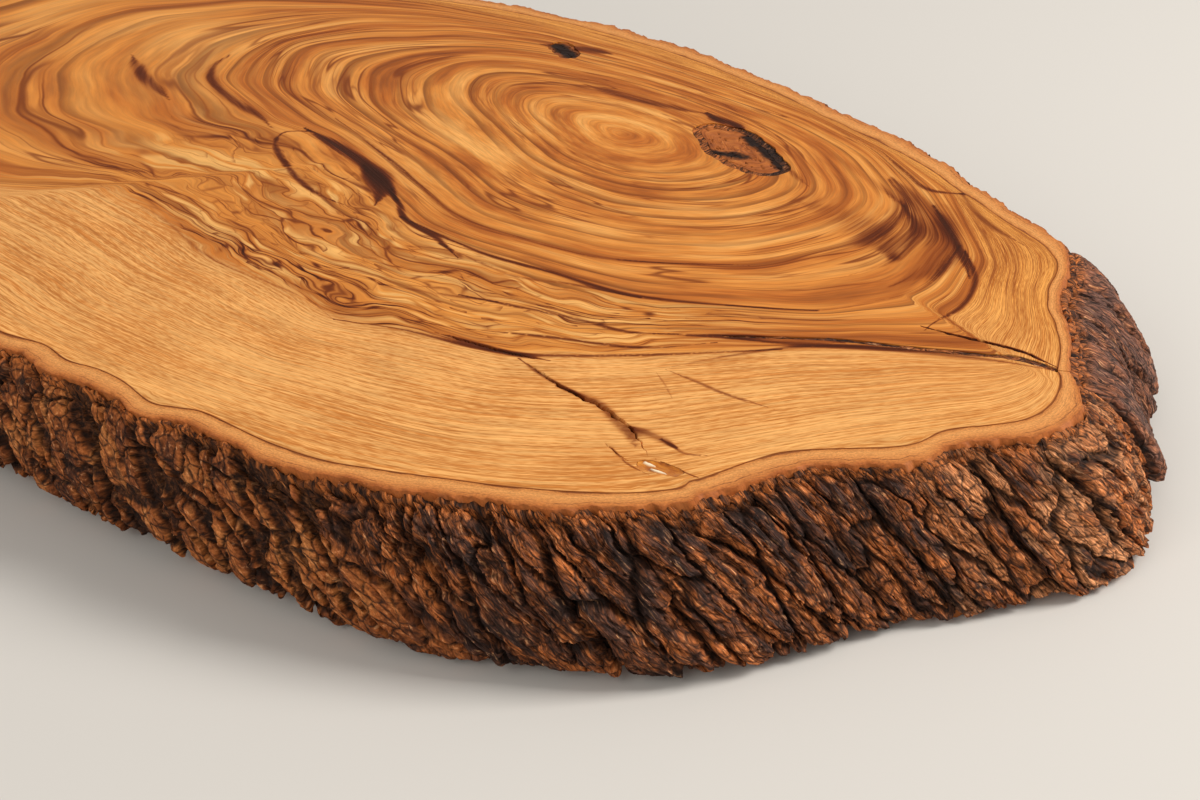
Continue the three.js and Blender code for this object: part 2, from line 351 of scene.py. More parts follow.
def flakes(seed, x, y, lap=0):
    """Distance to the nearest flake's middle and to the next one's, and a number for the nearest."""
    column, row = np.floor(x), np.floor(y)
    first = np.full(np.shape(x), FAR_OFF)
    second = first.copy()
    owner = np.zeros(np.shape(x))
    for i in (-1, 0, 1):
        for j in (-1, 0, 1):
            cell = (column + i) % lap if lap else column + i
            middle_x = column + i + chance(seed, cell, row + j)
            middle_y = row + j + chance(seed + 1, cell, row + j)
            gap = np.hypot(middle_x - x, middle_y - y)
            closer = gap < first
            second = np.where(closer, first, np.minimum(second, gap))
            owner = np.where(closer, chance(seed + 2, cell, row + j), owner)
            first = np.minimum(first, gap)
    return first, second, owner


def laps(size):
    """How many units of about this size go round the rim, and the length of each."""
    units = round(RIM_LENGTH / size)
    return units, RIM_LENGTH / units


# %% [markdown]
# ## From numbers to a Blender piece
# A long list of points is quickest handed to Blender in whole arrays. The pieces of bark are
# closed skins: cross-sections stand along the rim like the slices of a loaf, neighbours are
# joined by quads, and one many-sided face closes each end. A skin that would come out inside
# out is turned round, which shows in the sign of its volume.

# %% Make a piece
SHARP_TURN = math.radians(50)


def make_piece(name, points, faces, caps=()):
    """A smooth mesh object from points in millimetres, equal-sided faces and many-sided caps."""
    corners = points[faces]
    inside_out = np.einsum("ij,ij->", corners[:, 0], np.cross(corners[:, 1], corners[:, 2])) < 0
    if inside_out:
        faces = faces[:, ::-1]
        caps = [cap[::-1] for cap in caps]
    mesh = bpy.data.meshes.new(name)
    mesh.vertices.add(len(points))
    mesh.vertices.foreach_set("co", (points * MM).astype(np.float32).ravel())
    sides = [faces.shape[1]] * len(faces) + [len(cap) for cap in caps]
    corner_list = np.concatenate([faces.ravel(), *caps]).astype(np.int32)
    mesh.loops.add(len(corner_list))
    mesh.loops.foreach_set("vertex_index", corner_list)
    mesh.polygons.add(len(sides))
    mesh.polygons.foreach_set("loop_start", np.concatenate([[0], np.cumsum(sides)[:-1]]).astype(np.int32))
    mesh.update(calc_edges=True)
    mesh.validate()
    mesh.shade_smooth()
    mesh.set_sharp_from_angle(angle=SHARP_TURN)
    piece = bpy.data.objects.new(name, mesh)
    bpy.context.scene.collection.objects.link(piece)
    return piece


def give_numbers(piece, **fields):
    """Stores numbers or arrows on the points of a piece, where its finish can read them."""
    for field, values in fields.items():
        kind, key = ("FLOAT_VECTOR", "vector") if values.ndim == 2 else ("FLOAT", "value")
        store = piece.data.attributes.new(field, kind, "POINT")
        store.data.foreach_set(key, values.astype(np.float32).ravel())


def dress(piece, finish, slot, *nodes):
    """Gives a finished piece its material and its place in the frame."""
    piece.data.materials.append(finish)
    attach(piece, "root")
    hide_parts(*nodes)


# %% Skins from cross-sections
def skin_faces(sections, loop):
    """Quads between neighbouring closed cross-sections that have equal point counts."""
    start = np.arange(sections - 1)[:, None] * loop
    point = np.arange(loop)[None]
    following = (point + 1) % loop
    quads = [start + point, start + following, start + loop + following, start + loop + point]
    return np.stack(quads, axis=-1).reshape(-1, 4)


def make_skin(name, outlines):
    """A closed piece from cross-sections: rows of points in space, all with equal point counts."""
    sections, loop = outlines.shape[:2]
    caps = [np.arange(loop)[::-1], (sections - 1) * loop + np.arange(loop)]
    return make_piece(name, outlines.reshape(-1, 3), skin_faces(sections, loop), caps)


# %% [markdown]
# ## A short hand for shader nodes
# Finishes below are built from many small nodes. Each helper adds one and links it, so that a
# finish reads like a recipe: where the number comes from, what is done to it, what it colours.

# %% Node helpers
def feed(tree, socket, source):
    """Links a socket to another node's output, or sets it to a number or colour."""
    if isinstance(source, bpy.types.NodeSocket):
        tree.links.new(source, socket)
    else:
        socket.default_value = source


def stored(tree, field):
    node = tree.nodes.new("ShaderNodeAttribute")
    node.attribute_name = field
    return node


def count(tree, operation, *inputs):
    node = tree.nodes.new("ShaderNodeMath")
    node.operation = operation
    for socket, source in zip(node.inputs, inputs):
        feed(tree, socket, source)
    return node.outputs["Value"]


def times(tree, first, second):
    return count(tree, "MULTIPLY", first, second)


def larger(tree, first, second):
    return count(tree, "MAXIMUM", first, second)


# %% Noise and ranges in nodes
def stretch(tree, arrow, sizes):
    """Divides a place by a size along each of its directions, so that noise takes that grain."""
    node = tree.nodes.new("ShaderNodeVectorMath")
    node.operation = "DIVIDE"
    feed(tree, node.inputs[0], arrow)
    node.inputs[1].default_value = sizes
    return node.outputs["Vector"]


def cloud(tree, place, sizes, detail=2.0, roughness=0.5):
    """Noise from 0 to 1 at a place, stretched to the given sizes."""
    node = tree.nodes.new("ShaderNodeTexNoise")
    feed(tree, node.inputs["Vector"], stretch(tree, place, sizes))
    node.inputs["Scale"].default_value = 1.0
    node.inputs["Detail"].default_value = detail
    node.inputs["Roughness"].default_value = roughness
    return node.outputs["Fac"]


def ease(tree, value, low, high, to_low=0.0, to_high=1.0):
    """Maps a number smoothly from one range to another, and stops at its ends."""
    node = tree.nodes.new("ShaderNodeMapRange")
    node.interpolation_type = "SMOOTHSTEP"
    for socket, source in zip(node.inputs, (value, low, high, to_low, to_high)):
        feed(tree, socket, source)
    return node.outputs["Result"]


# %% Mixing in nodes
def tint(tree, share, low, high):
    """Mixes two colours by a share."""
    node = tree.nodes.new("ShaderNodeMix")
    node.data_type = "RGBA"
    feed(tree, node.inputs["Factor"], share)
    feed(tree, node.inputs[6], low)
    feed(tree, node.inputs[7], high)
    return node.outputs[2]


def between(tree, share, low, high):
    """Mixes two numbers by a share."""
    node = tree.nodes.new("ShaderNodeMix")
    feed(tree, node.inputs[0], share)
    feed(tree, node.inputs[2], low)
    feed(tree, node.inputs[3], high)
    return node.outputs[0]


def blend_steps(tree, value, *steps):
    """A row of colours, each at its own share."""
    node = tree.nodes.new("ShaderNodeValToRGB")
    feed(tree, node.inputs["Fac"], value)
    marks = node.color_ramp.elements
    while len(marks) < len(steps):
        marks.new(0.5)
    for mark, (place, colour) in zip(marks, steps):
        mark.position = place
        mark.color = colour
    return node.outputs["Color"]


def grain_relief(tree, shader, height, depth):
    """Lets a height between 0 and 1 stand out by a depth in millimetres."""
    node = tree.nodes.new("ShaderNodeBump")
    node.inputs["Strength"].default_value = 1.0
    node.inputs["Distance"].default_value = depth * MM
    feed(tree, node.inputs["Height"], height)
    tree.links.new(node.outputs["Normal"], shader.inputs["Normal"])


# %% [markdown]
# ## The figure of the wood
# Growth rings are the map of this wood. On the sawn face a few of them are plain to see: the
# bold ring round the pith, two dark ones further out, and the line where the brown heartwood
# ends. They are written down as a few points each. Between them, every bearing from the pith
# is shared out evenly, which gives each spot of the board its age. Noise that is stretched
# along that age looks like grain, because it runs round the pith as the rings do.

# %% Traced growth rings
PITH = (21.5, 47.5)
# age: points of the ring on the top face, counter-clockwise
RINGS = {
    35: [(69.5, 47.5), (63.5, 55.5), (48.5, 65.5), (28.5, 69.5), (3.5, 69.5), (-19.5, 63.5), (-31.5, 54.5),
         (-21.5, 40.5), (1.5, 28.5), (17.5, 22), (40.5, 20.5), (59.5, 28.5)],
    62: [(92.5, 34.5), (90.5, 55.5), (68.5, 72.5), (48.5, 78), (28.5, 79.5), (-1.5, 79.5), (-26.5, 76.5),
         (-46.5, 67.5), (-61.5, 52.5), (-69.5, 37.5), (-54.5, 17.5), (-36.5, 12.5), (-18, 8.5), (4, 0.5),
         (21.5, -6), (40.5, -5.5), (60.5, -0.5), (81.5, 14)],
    77: [(112.5, 31.5), (108.5, 48), (86.5, 65.5), (68.5, 76.5), (48.5, 82), (28.5, 83.5), (-1.5, 84.5),
         (-31.5, 82), (-56.5, 72.5), (-73.5, 57.5), (-80.5, 39.5), (-78.5, 26), (-71.5, 12), (-43, 2),
         (-32.5, 3.5), (-15, -0.5), (-1.5, -6), (10.5, -11.5), (19.5, -15.5), (37.5, -15.5), (54, -13),
         (72, -10.5), (88.5, -2), (102.5, 7), (111.5, 22.5)],
    105: [(122.5, 20.5), (123, 28), (116.5, 45.5), (93.5, 68.5), (73.5, 77.5), (48.5, 83.5), (18.5, 87),
          (-11.5, 87.5), (-36.5, 85.5), (-66.5, 79.5), (-96.5, 67.5), (-126.5, 49.5), (-147.5, 25.5),
          (-155.5, -2.5), (-149.5, -32.5), (-129.5, -57.5), (-101.5, -68.5), (-73.5, -64.5),
          (-53.5, -54.5), (-44.5, -43.5), (-23.5, -45.5), (-1.5, -51.5), (23.5, -51.5), (35.5, -53.5),
          (48.5, -48.5), (69.5, -42.5), (88.5, -27.5), (106.5, -9.5), (120.5, 3.5), (140.5, 14.5)],
}
HEART_AGE = 105
RIM_AGE = 140
RING_STEP = 0.5
# the outer rings keep their kinks
RING_ROUNDING = {35: 6.0, 62: 5.0, 77: 3.0, 105: 2.0}


def bearing_and_reach(points):
    offset = points - np.array(PITH)
    return np.arctan2(offset[:, 1], offset[:, 0]), np.hypot(*offset.T)


def ring_reach(line):
    """How far a ring is from the pith, as a function of the bearing."""
    bearings, reaches = bearing_and_reach(line)
    order = np.argsort(bearings)
    return lambda bearing: np.interp(bearing, bearings[order], reaches[order], period=2 * np.pi)


ring_reaches = {
    age: ring_reach(soften(evenly(np.array(points, float), RING_STEP), RING_ROUNDING[age], RING_STEP))
    for age, points in RINGS.items()
}
ring_reaches[RIM_AGE] = ring_reach(rim_line)
print("rings traced:", ", ".join(str(age) for age in ring_reaches))


# %% Age of each spot
LEAST_RING_GAP = 0.6


def age_at(points):
    """The age of the wood at points of the top face, and their bearing from the pith."""
    bearing, distance = bearing_and_reach(points)
    age = np.zeros(len(points))
    inner_age, inner = 0, np.zeros(len(points))
    for outer_age, reach_at in ring_reaches.items():
        outer = np.maximum(reach_at(bearing), inner + LEAST_RING_GAP)
        share = np.clip((distance - inner) / (outer - inner), 0, 1)
        age += share * (outer_age - inner_age)
        inner_age, inner = outer_age, outer
    return age, bearing


def depth_in(points):
    """How far points of the top face lie in from the edge of the wood."""
    way, out = from_rim(np.column_stack([points, np.full(len(points), THICKNESS)]))
    return cambium(way) - out


# %% [markdown]
# ## Streaks and stains
# Olive heartwood is known for streaks that are nearly black. The largest ones make this board
# what it is, so each has its own stroke: a width, a strength and the points it goes through.
# A painter would do the same with a fine brush and then drag it along the grain. Here the
# dragging is left to the finish, which frays every stroke with noise along the rings.

# %% Strokes on the top face
# name: width, darkness, points
STROKES = {
    "smear": (2.8, 0.92, [(-33.9, 5), (-23.3, 3), (-12, 0.5), (-2.9, -2.5), (7.9, -9)]),
    "smear_low": (2.6, 0.85, [(-10, -1), (-3, -5), (3, -9), (6, -13.5)]),
    "smear_tail": (1.3, 0.85, [(3, -5.5), (9, -9.5), (16, -14.3), (26.2, -16.5), (35.7, -20.2)]),
    "outer_ring": (1.1, 0.8, [(14, -14), (37.5, -15.5), (54, -13), (72, -10.5), (88.5, -2), (102.5, 7)]),
    "outer_ring_right": (1.0, 0.6, [(88.5, -2), (102.5, 7), (111.5, 22.5), (112.5, 31.5), (108.5, 48)]),
    "eye_under": (1.4, 0.8, [(-31.8, 4.5), (-35.6, 0.6), (-33.3, -4.5), (-27.4, -8.6), (-16, -14.4),
                              (-6.2, -17.2), (2.7, -17.3)]),
    "left_arc": (3.2, 0.75, [(-97, 9), (-87, 3), (-77.1, -0.6), (-68.8, -3.6)]),
    "left_ring": (2.7, 0.75, [(-79, 24), (-76.1, 15.3), (-67.6, 8.9), (-56.7, 5.1), (-47.2, 3.3),
                              (-38.9, 0.1)]),
    "pith_ring": (1.9, 0.5, [(66, 38), (59.5, 28.5), (40.5, 20.5), (17.5, 22), (1.5, 28.5)]),
    "middle_ring": (1.3, 0.68, [(-32.8, 13.2), (-18, 8.5), (4, 0.5), (21.5, -6), (40.5, -5.5), (60.5, -0.5),
                                (81.5, 14)]),
    "middle_ring_right": (1.4, 0.5, [(60.5, -0.5), (81.5, 14), (92.5, 34.5), (90.5, 55.5), (80, 65)]),
    "rear_streak": (1.1, 0.74, [(94.4, 60.2), (102.9, 52.6), (112.5, 43.1), (117.5, 37)]),
    "rear_streak_low": (1.1, 0.78, [(110.5, 46.6), (117.6, 38.9), (121, 32.4), (122.8, 25.3), (122.3, 17.5),
                                    (122.6, 13.7)]),
    "rear_line": (1.1, 0.75, [(70, 76.6), (80.5, 70.5), (89.5, 66.3), (98.3, 70.5)]),
    "rear_amber": (5.0, 0.3, [(95.9, 62.1), (107.7, 56.6), (117.1, 52.7), (125.7, 49.6)]),
    "rear_curl": (0.7, 0.5, [(112.5, 67.9), (121, 60.7), (127.8, 52.5), (131, 45)]),
    "rear_band": (2.2, 0.55, [(51, 71.9), (62, 68.5), (71.9, 64.6), (81, 60.8), (89.7, 56.2)]),
    "right_ring": (1.6, 0.58, [(89.7, 56.2), (96.5, 50), (99.7, 44), (101.8, 33), (98, 20)]),
    "seam_side": (0.9, 0.65, [(130.5, 9), (111.5, -3.5), (101.5, -16.5), (95, -28)]),
    "seam_end": (1.0, 0.72, [(104, -6), (95, -12.5), (85, -20)]),
    "seam_patch": (1.7, 0.6, [(114, 0), (107, -3.5), (99, -9.5), (90, -16.5)]),
    "seam_upper": (0.7, 0.95, [(149, 17), (140, 18), (127.5, 15.5), (121, 14.5)]),
    "heart_edge": (0.9, 0.6, [(-44.5, -43.5), (-23.5, -45.5), (-1.5, -51.5), (23.5, -51.5), (35.5, -54)]),
    "heart_edge_mid": (1.0, 0.75, [(35.5, -54), (48.5, -48.5), (69.5, -42.5), (88.5, -27.5),
                                   (106.5, -9.5)]),
    "heart_edge_dark": (1.2, 0.74, [(53.5, -45.5), (61.5, -44), (69.5, -42.5), (77, -40)]),
    "braid_1": (1.1, 0.75, [(46.5, -31.5), (58.5, -28), (70.5, -24.5), (80.5, -22.5), (88.5, -17)]),
    "braid_2": (0.9, 0.65, [(28.5, -18), (48.5, -19), (59.5, -14.7), (74, -10.3)]),
    "braid_3": (1.0, 0.65, [(32, -38), (44, -33.5), (54, -29)]),
    "braid_4": (1.0, 0.75, [(57.5, -40.5), (70.5, -33.5), (86.5, -25.5), (96, -15)]),
    "braid_5": (1.2, 0.55, [(-20, -33), (-6, -30), (8, -33), (24, -30)]),
    "check": (0.9, 0.68, [(95, -29), (103, -29), (108.5, -29.2), (118.5, -28)]),
    "check_low": (0.5, 0.6, [(94.5, -31), (98.5, -33.5), (102.5, -36.5)]),
    "crack_start": (0.9, 0.74, [(72, -43), (80, -45), (90, -46.2)]),
    "crack_stain": (2.0, 0.68, [(84, -46.2), (93.7, -46.2), (100, -49), (103.8, -50.6), (107.8, -53),
                                (110.6, -55)]),
    "crack_branch": (2.0, 0.66, [(102.5, -48.8), (106, -48.6), (109.5, -48.6), (113.5, -49.2)]),
    "crack_branch_tail": (0.7, 0.66, [(110, -48.7), (113, -49.2), (116, -49.7), (120, -47.2)]),
    "gum_line_low": (0.5, 0.7, [(103.1, -55.4), (109.1, -58.1), (112, -58.8), (115.4, -59)]),
    "gum_line_up": (0.4, 0.75, [(113, -54.3), (117.7, -54.4), (120.5, -54.5), (124, -54.3)]),
    "knot_corner": (2.4, 0.92, [(28.5, 69), (32, 67.5), (37.8, 67.3), (42, 65.5)]),
    "knot_left": (3.0, 0.74, [(-4, 63.5), (3, 64), (12.7, 64.8), (22.5, 66.6), (29, 68)]),
    "knot_tail": (1.6, 0.7, [(60, 56.5), (64, 54), (69, 51.5)]),
    "pin_halo": (3.2, 0.8, [(-27.5, 76), (-22, 78.2), (-16.5, 80.6), (-9, 82.5)]),
    "seam_stain": (1.5, 0.7, [(148.5, 15.5), (140, 12.5), (130.5, 8), (120, 2), (107, -6.5), (96, -12.5)]),
    "rear_rim_line": (1.2, 0.6, [(92, 73), (99, 66), (108, 60), (119, 56)]),
    "brown_patch": (6.0, 0.4, [(-52, -47), (-47, -47), (-42, -46)]),
    "right_heart": (9.0, 0.6, [(72, 44), (82, 44), (92, 41), (101, 35)]),
    "right_stain": (6.5, 0.66, [(80, 66), (93, 58), (103, 49), (109, 38), (108, 24)]),
}

# %% Lines through a few points
STROKE_STEPS = 24


def curve_through(points, steps):
    """An open smooth line through a few points."""
    points = np.array(points, float)
    padded = np.vstack([2 * points[0] - points[1], points, 2 * points[-1] - points[-2]])
    line = []
    for a, b, c, d in zip(padded, padded[1:], padded[2:], padded[3:]):
        t = np.linspace(0, 1, steps, endpoint=False)[:, None]
        line.append(b + 0.5 * t * (c - a + t * (2 * a - 5 * b + 4 * c - d + t * (3 * (b - c) + d - a))))
    return np.vstack([*line, points[-1:]])


def near_line(points, line):
    """How far points lie from a line, and how far along it the nearest spot is, from 0 to 1."""
    distance = np.full(len(points), np.inf)
    share = np.zeros(len(points))
    lengths = np.concatenate([[0], np.cumsum(np.hypot(*np.diff(line, axis=0).T))])
    for index, (start, end) in enumerate(zip(line, line[1:])):
        run = end - start
        part = np.clip(((points - start) @ run) / (run @ run), 0, 1)
        gap = np.hypot(*(points - start - part[:, None] * run).T)
        closer = gap < distance
        distance = np.where(closer, gap, distance)
        here = lengths[index] + part * (lengths[index + 1] - lengths[index])
        share = np.where(closer, here / lengths[-1], share)
    return distance, share


# %% Darkness of the strokes
# for the search, a stroke is drawn with fewer steps and reaches this many widths
ROUGH_STEPS = 6
STROKE_REACH = 5
# share of its length over which a stroke thins out, and the share of its width that is left at its tip
STROKE_TAPER = 0.3
STROKE_TIP = 0.2
# a dense core with a soft halo: the core's width and sharpness, the halo's width and share
STROKE_CORE = 0.8
CORE_EDGE = 1.3
HALO = 2.4
HALO_SHARE = 0.4


def streaks_at(points):
    """How dark the strokes are at points of the top face. A stroke thins out at its ends."""
    clear = np.ones(len(points))
    for width, darkness, places in STROKES.values():
        line = curve_through(places, ROUGH_STEPS)
        far = STROKE_REACH * width
        box = (points > line.min(axis=0) - far) & (points < line.max(axis=0) + far)
        close = np.flatnonzero(box.all(axis=1))
        distance, share = near_line(points[close], line)
        taper = STROKE_TIP + (1 - STROKE_TIP) * ramp(0, STROKE_TAPER, np.minimum(share, 1 - share))
        near = (distance / (STROKE_CORE * width * taper)) ** 2
        core = np.exp(-near ** CORE_EDGE)
        halo = np.exp(-near / HALO ** 2)
        clear[close] *= 1 - darkness * (core + HALO_SHARE * (halo - core))
    return 1 - clear


# %% Where the grain is braided
BRAID_AGES = (74, 84, 100, 110)
BRAID_ENDS = (-75, -35, 80, 112)
BRAID_FRONT = (10, -10)


def braid_at(points, age):
    """The zone in front where the grain is plaited, from 0 to 1."""
    first, full, last, end = BRAID_AGES
    by_age = ramp(first, full, age) * (1 - ramp(last, end, age))
    left, from_left, to_right, right = BRAID_ENDS
    by_place = ramp(left, from_left, points[:, 0]) * (1 - ramp(to_right, right, points[:, 0]))
    return by_age * by_place * ramp(*BRAID_FRONT, points[:, 1])


# %% All the numbers that the wood's finish reads
BEARING_REACH = 60.0
PITH_CALM = 28.0
# towards the rear the sapwood turns golden
GOLDEN_FROM = (0.0, 40.0)
# noise that bends the rings: how many years, seed, length and width of a bend, layers
WARPS = [(1.1, 71, 36.0, 36.0, 2), (0.06, 75, 7.0, 7.0, 4)]
PLAITS = [(2.4, 81, 22.0, 13.0, 2), (0.7, 83, 8.0, 5.0, 2)]
# the youngest rings run straight along the rim
STRAIGHT_RIM = 12


def bend_years(points, bends):
    """By how many years noise bends the rings at points of the top face."""
    x, y = points.T
    total = np.zeros(len(points))
    for years, seed, long, wide, layers in bends:
        total += years * rough(seed, x / long, y / wide, 0, layers)
    return total


def figure_of(points):
    """The figure at points of the top face. Points below it are first brought up along the trunk."""
    age, bearing = age_at(points)
    braid = braid_at(points, age)
    bend = bend_years(points, WARPS) + bend_years(points, PLAITS) * braid
    inside = ramp(RIM_AGE, RIM_AGE - STRAIGHT_RIM, age)
    reach_round = BEARING_REACH * (1 - np.exp(-np.hypot(*(points - PITH).T) / PITH_CALM))
    bent_age = age + bend * inside
    ring_place = np.stack([bent_age, reach_round * np.cos(bearing), reach_round * np.sin(bearing)], axis=1)
    return {
        "ring_place": ring_place,
        "heart": HEART_AGE - age,
        "depth": depth_in(points),
        "streak_and_shade": streaks_at(points),
        "braid": braid,
        "gold": ramp(*GOLDEN_FROM, points[:, 1]),
    }


# %% [markdown]
# ## The finish of the wood
# Sanded and oiled olive wood is satin, not glossy. Its colour has four layers. Sapwood is pale,
# with hair-fine lines along the rim. Heartwood is honey to red-brown in broad bands. Thin dark
# lines follow the rings: where smooth noise crosses its own middle value it leaves a thin line,
# and noise that is stretched along the grain leaves lines that part and meet as streaks do.
# Last come the strokes, with painted shade in the cracks, frayed by fibres.

# %% Grain patterns
def thin_lines(tree, place, sizes, width, detail=2.0):
    """Lines where stretched noise crosses its middle value."""
    noise = cloud(tree, place, sizes, detail)
    off_middle = count(tree, "ABSOLUTE", count(tree, "SUBTRACT", noise, 0.5))
    return ease(tree, off_middle, 0.0, width, 1.0, 0.0)


def lenses(tree, place, sizes):
    """Lens-shaped cells along the grain: the distance to their edge and a number for each."""
    outputs = []
    for feature, output in (("DISTANCE_TO_EDGE", "Distance"), ("F1", "Color")):
        node = tree.nodes.new("ShaderNodeTexVoronoi")
        node.feature = feature
        node.inputs["Scale"].default_value = 1.0
        feed(tree, node.inputs["Vector"], stretch(tree, place, sizes))
        outputs.append(node.outputs[output])
    return outputs


def mixed(tree, *parts):
    """A sum of numbers, each with its own weight."""
    total = 0.0
    for value, weight in parts:
        total = count(tree, "MULTIPLY_ADD", value, weight, total)
    return total


def brightened(tree, colour, amount):
    node = tree.nodes.new("ShaderNodeHueSaturation")
    feed(tree, node.inputs["Color"], colour)
    feed(tree, node.inputs["Value"], amount)
    return node.outputs["Color"]


# %% Sapwood
# sizes of noise: years across the rings, then twice millimetres round the pith
SAP_LINE_SIZE = (0.36, 60, 60)
SAP_DASH_SIZE = (0.15, 1.1, 1.1)
SAP_BROAD_SIZE = (9, 14, 14)
SAP_PALE = shade(241, 178, 105)
SAP_LINE = shade(198, 122, 54)
GOLD_PALE = shade(243, 169, 84)
GOLD_LINE = shade(166, 90, 30)


def sapwood(tree, place, gold):
    lines = cloud(tree, place, SAP_LINE_SIZE, 2.0)
    dashes = cloud(tree, place, SAP_DASH_SIZE, 1.5)
    broad = cloud(tree, place, SAP_BROAD_SIZE, 3.0)
    tone = ease(tree, mixed(tree, (lines, 0.36), (dashes, 0.4), (broad, 0.24)), 0.39, 0.6)
    pale = tint(tree, tone, SAP_LINE, SAP_PALE)
    golden = tint(tree, tone, GOLD_LINE, GOLD_PALE)
    return tint(tree, gold, pale, golden), dashes


# %% Growth rings
RING_BROWN = shade(104, 48, 18)
# years from one soft band to the next, and the ages between which the first bands fade in
RING_PITCH = 4.4
PITH_AGES = (6.0, 26.0)
RING_SWAY_SIZE = (9, 60, 60)
RING_STRENGTH_SIZE = (5, 60, 60)


def age_of(tree, place):
    node = tree.nodes.new("ShaderNodeSeparateXYZ")
    feed(tree, node.inputs[0], place)
    return node.outputs["X"]


def past_pith(tree, place):
    """0 at the pith, where rings are too tight to draw, and 1 further out."""
    return ease(tree, age_of(tree, place), *PITH_AGES)


def growth_rings(tree, place):
    """Soft brown bands that darken outwards and stop sharply, as a year's growth does. Few are strong."""
    sway = cloud(tree, place, RING_SWAY_SIZE, 2.0)
    year = count(tree, "FRACT", mixed(tree, (age_of(tree, place), 1 / RING_PITCH), (sway, 1.2)))
    late = times(tree, ease(tree, year, 0.4, 0.95), ease(tree, year, 1.0, 0.94))
    strong = ease(tree, cloud(tree, place, RING_STRENGTH_SIZE, 1.0), 0.4, 0.62, 0.15, 1.0)
    return times(tree, late, times(tree, strong, past_pith(tree, place)))


# %% Heartwood
HEART_STEPS = [
    (0.28, shade(138, 69, 26)),
    (0.42, shade(188, 106, 42)),
    (0.54, shade(218, 139, 62)),
    (0.7, shade(240, 172, 94)),
]
BRAID_GOLD = shade(222, 144, 62)
LENS_PALE = shade(246, 188, 110)
BAND_SIZE = (6.5, 44, 44)
LENS_SIZE = (2.1, 18, 18)
FOLD_SIZE = (1.1, 6, 6)


def heartwood(tree, place, braid):
    bands = cloud(tree, place, BAND_SIZE, 4.0, 0.6)
    wood = blend_steps(tree, bands, *HEART_STEPS)
    wood = tint(tree, times(tree, braid, 0.4), wood, BRAID_GOLD)
    wood = tint(tree, times(tree, growth_rings(tree, place), 0.7), wood, RING_BROWN)
    edge, number = lenses(tree, place, LENS_SIZE)
    fold_edge, fold = lenses(tree, place, FOLD_SIZE)
    pale = times(tree, ease(tree, number, 0.45, 0.75), ease(tree, edge, 0.05, 0.3))
    glint = times(tree, ease(tree, fold, 0.5, 0.8), ease(tree, fold_edge, 0.05, 0.3))
    pale = times(tree, larger(tree, pale, glint), times(tree, braid, 0.75))
    wood = tint(tree, pale, wood, LENS_PALE)
    plait = times(tree, ease(tree, edge, 0.0, 0.07, 1.0, 0.0), ease(tree, bands, 0.62, 0.42))
    folds = times(tree, ease(tree, fold_edge, 0.0, 0.16, 0.65, 0.0), ease(tree, fold, 0.6, 0.35))
    return wood, times(tree, larger(tree, plait, folds), braid)


# %% Fine dark lines
LINE_PATCH_SIZE = (12, 36, 36)
WIDE_LINE_SIZE = (4.6, 54, 54)
CLOSE_LINE_SIZE = (1.8, 36, 36)


def ring_lines(tree, place):
    """Fine dark lines that follow the rings for a while and fade."""
    some = ease(tree, cloud(tree, place, LINE_PATCH_SIZE, 1.0), 0.36, 0.58)
    wide_apart = thin_lines(tree, place, WIDE_LINE_SIZE, 0.04)
    close = thin_lines(tree, place, CLOSE_LINE_SIZE, 0.06)
    lines = larger(tree, wide_apart, times(tree, close, 0.7))
    return times(tree, times(tree, some, lines), past_pith(tree, place))


# %% Olive wood
STREAK_STEPS = [
    (0.12, shade(178, 98, 36)),
    (0.4, shade(138, 65, 21)),
    (0.7, shade(92, 38, 11)),
    (0.95, shade(52, 21, 7)),
]
FIBRE_SIZE = (0.45, 7, 7)
BUNDLE_SIZE = (0.9, 26, 26)
WOOD_SHEEN = 0.08
WOOD_GRAIN = 0.05


def frayed(tree, streak_and_shade, place, fibres, in_heart):
    """Strokes that are pulled apart along the grain, less so in the sapwood."""
    bundle = cloud(tree, place, BUNDLE_SIZE, 3.0, 0.6)
    fray = mixed(tree, (bundle, 0.9), (fibres, 0.5), (-0.7, 1.0))
    fray = times(tree, fray, ease(tree, in_heart, 0.0, 1.0, 0.35, 1.0))
    ragged = count(tree, "ADD", streak_and_shade, fray)
    return times(tree, streak_and_shade, ease(tree, ragged, 0.1, 1.0))


def olive_finish():
    finish, tree, shader = new_finish("olive_wood")
    place = stored(tree, "ring_place").outputs["Vector"]
    fields = ("heart", "depth", "streak_and_shade", "braid", "gold")
    heart, depth, streak_and_shade, braid, gold = (stored(tree, field).outputs["Fac"] for field in fields)
    fibres = cloud(tree, place, FIBRE_SIZE, 3.0, 0.6)
    sap, dashes = sapwood(tree, place, gold)
    in_heart = ease(tree, mixed(tree, (heart, 1.0), (fibres, 9.0)), 2.5, 6.5)
    brown, plait = heartwood(tree, place, braid)
    wood = tint(tree, in_heart, sap, brown)
    wood = brightened(tree, wood, ease(tree, fibres, 0.27, 0.73, 0.82, 1.12))
    strokes = frayed(tree, streak_and_shade, place, fibres, in_heart)
    lines = mixed(tree, (ring_lines(tree, place), 0.52), (plait, 0.55))
    lined = larger(tree, in_heart, times(tree, gold, 0.8))
    dark = larger(tree, strokes, times(tree, lines, lined))
    dark = larger(tree, dark, ease(tree, depth, 0.1, 0.35, 0.5, 0.0))
    wood = tint(tree, ease(tree, dark, 0.0, 0.65), wood, blend_steps(tree, dark, *STREAK_STEPS))
    tree.links.new(wood, shader.inputs["Base Color"])
    tree.links.new(ease(tree, fibres, 0.3, 0.7, 0.4, 0.52), shader.inputs["Roughness"])
    shader.inputs["Specular IOR Level"].default_value = WOOD_SHEEN
    grain_relief(tree, shader, mixed(tree, (fibres, 1.0), (dashes, 0.5)), WOOD_GRAIN)
    return finish


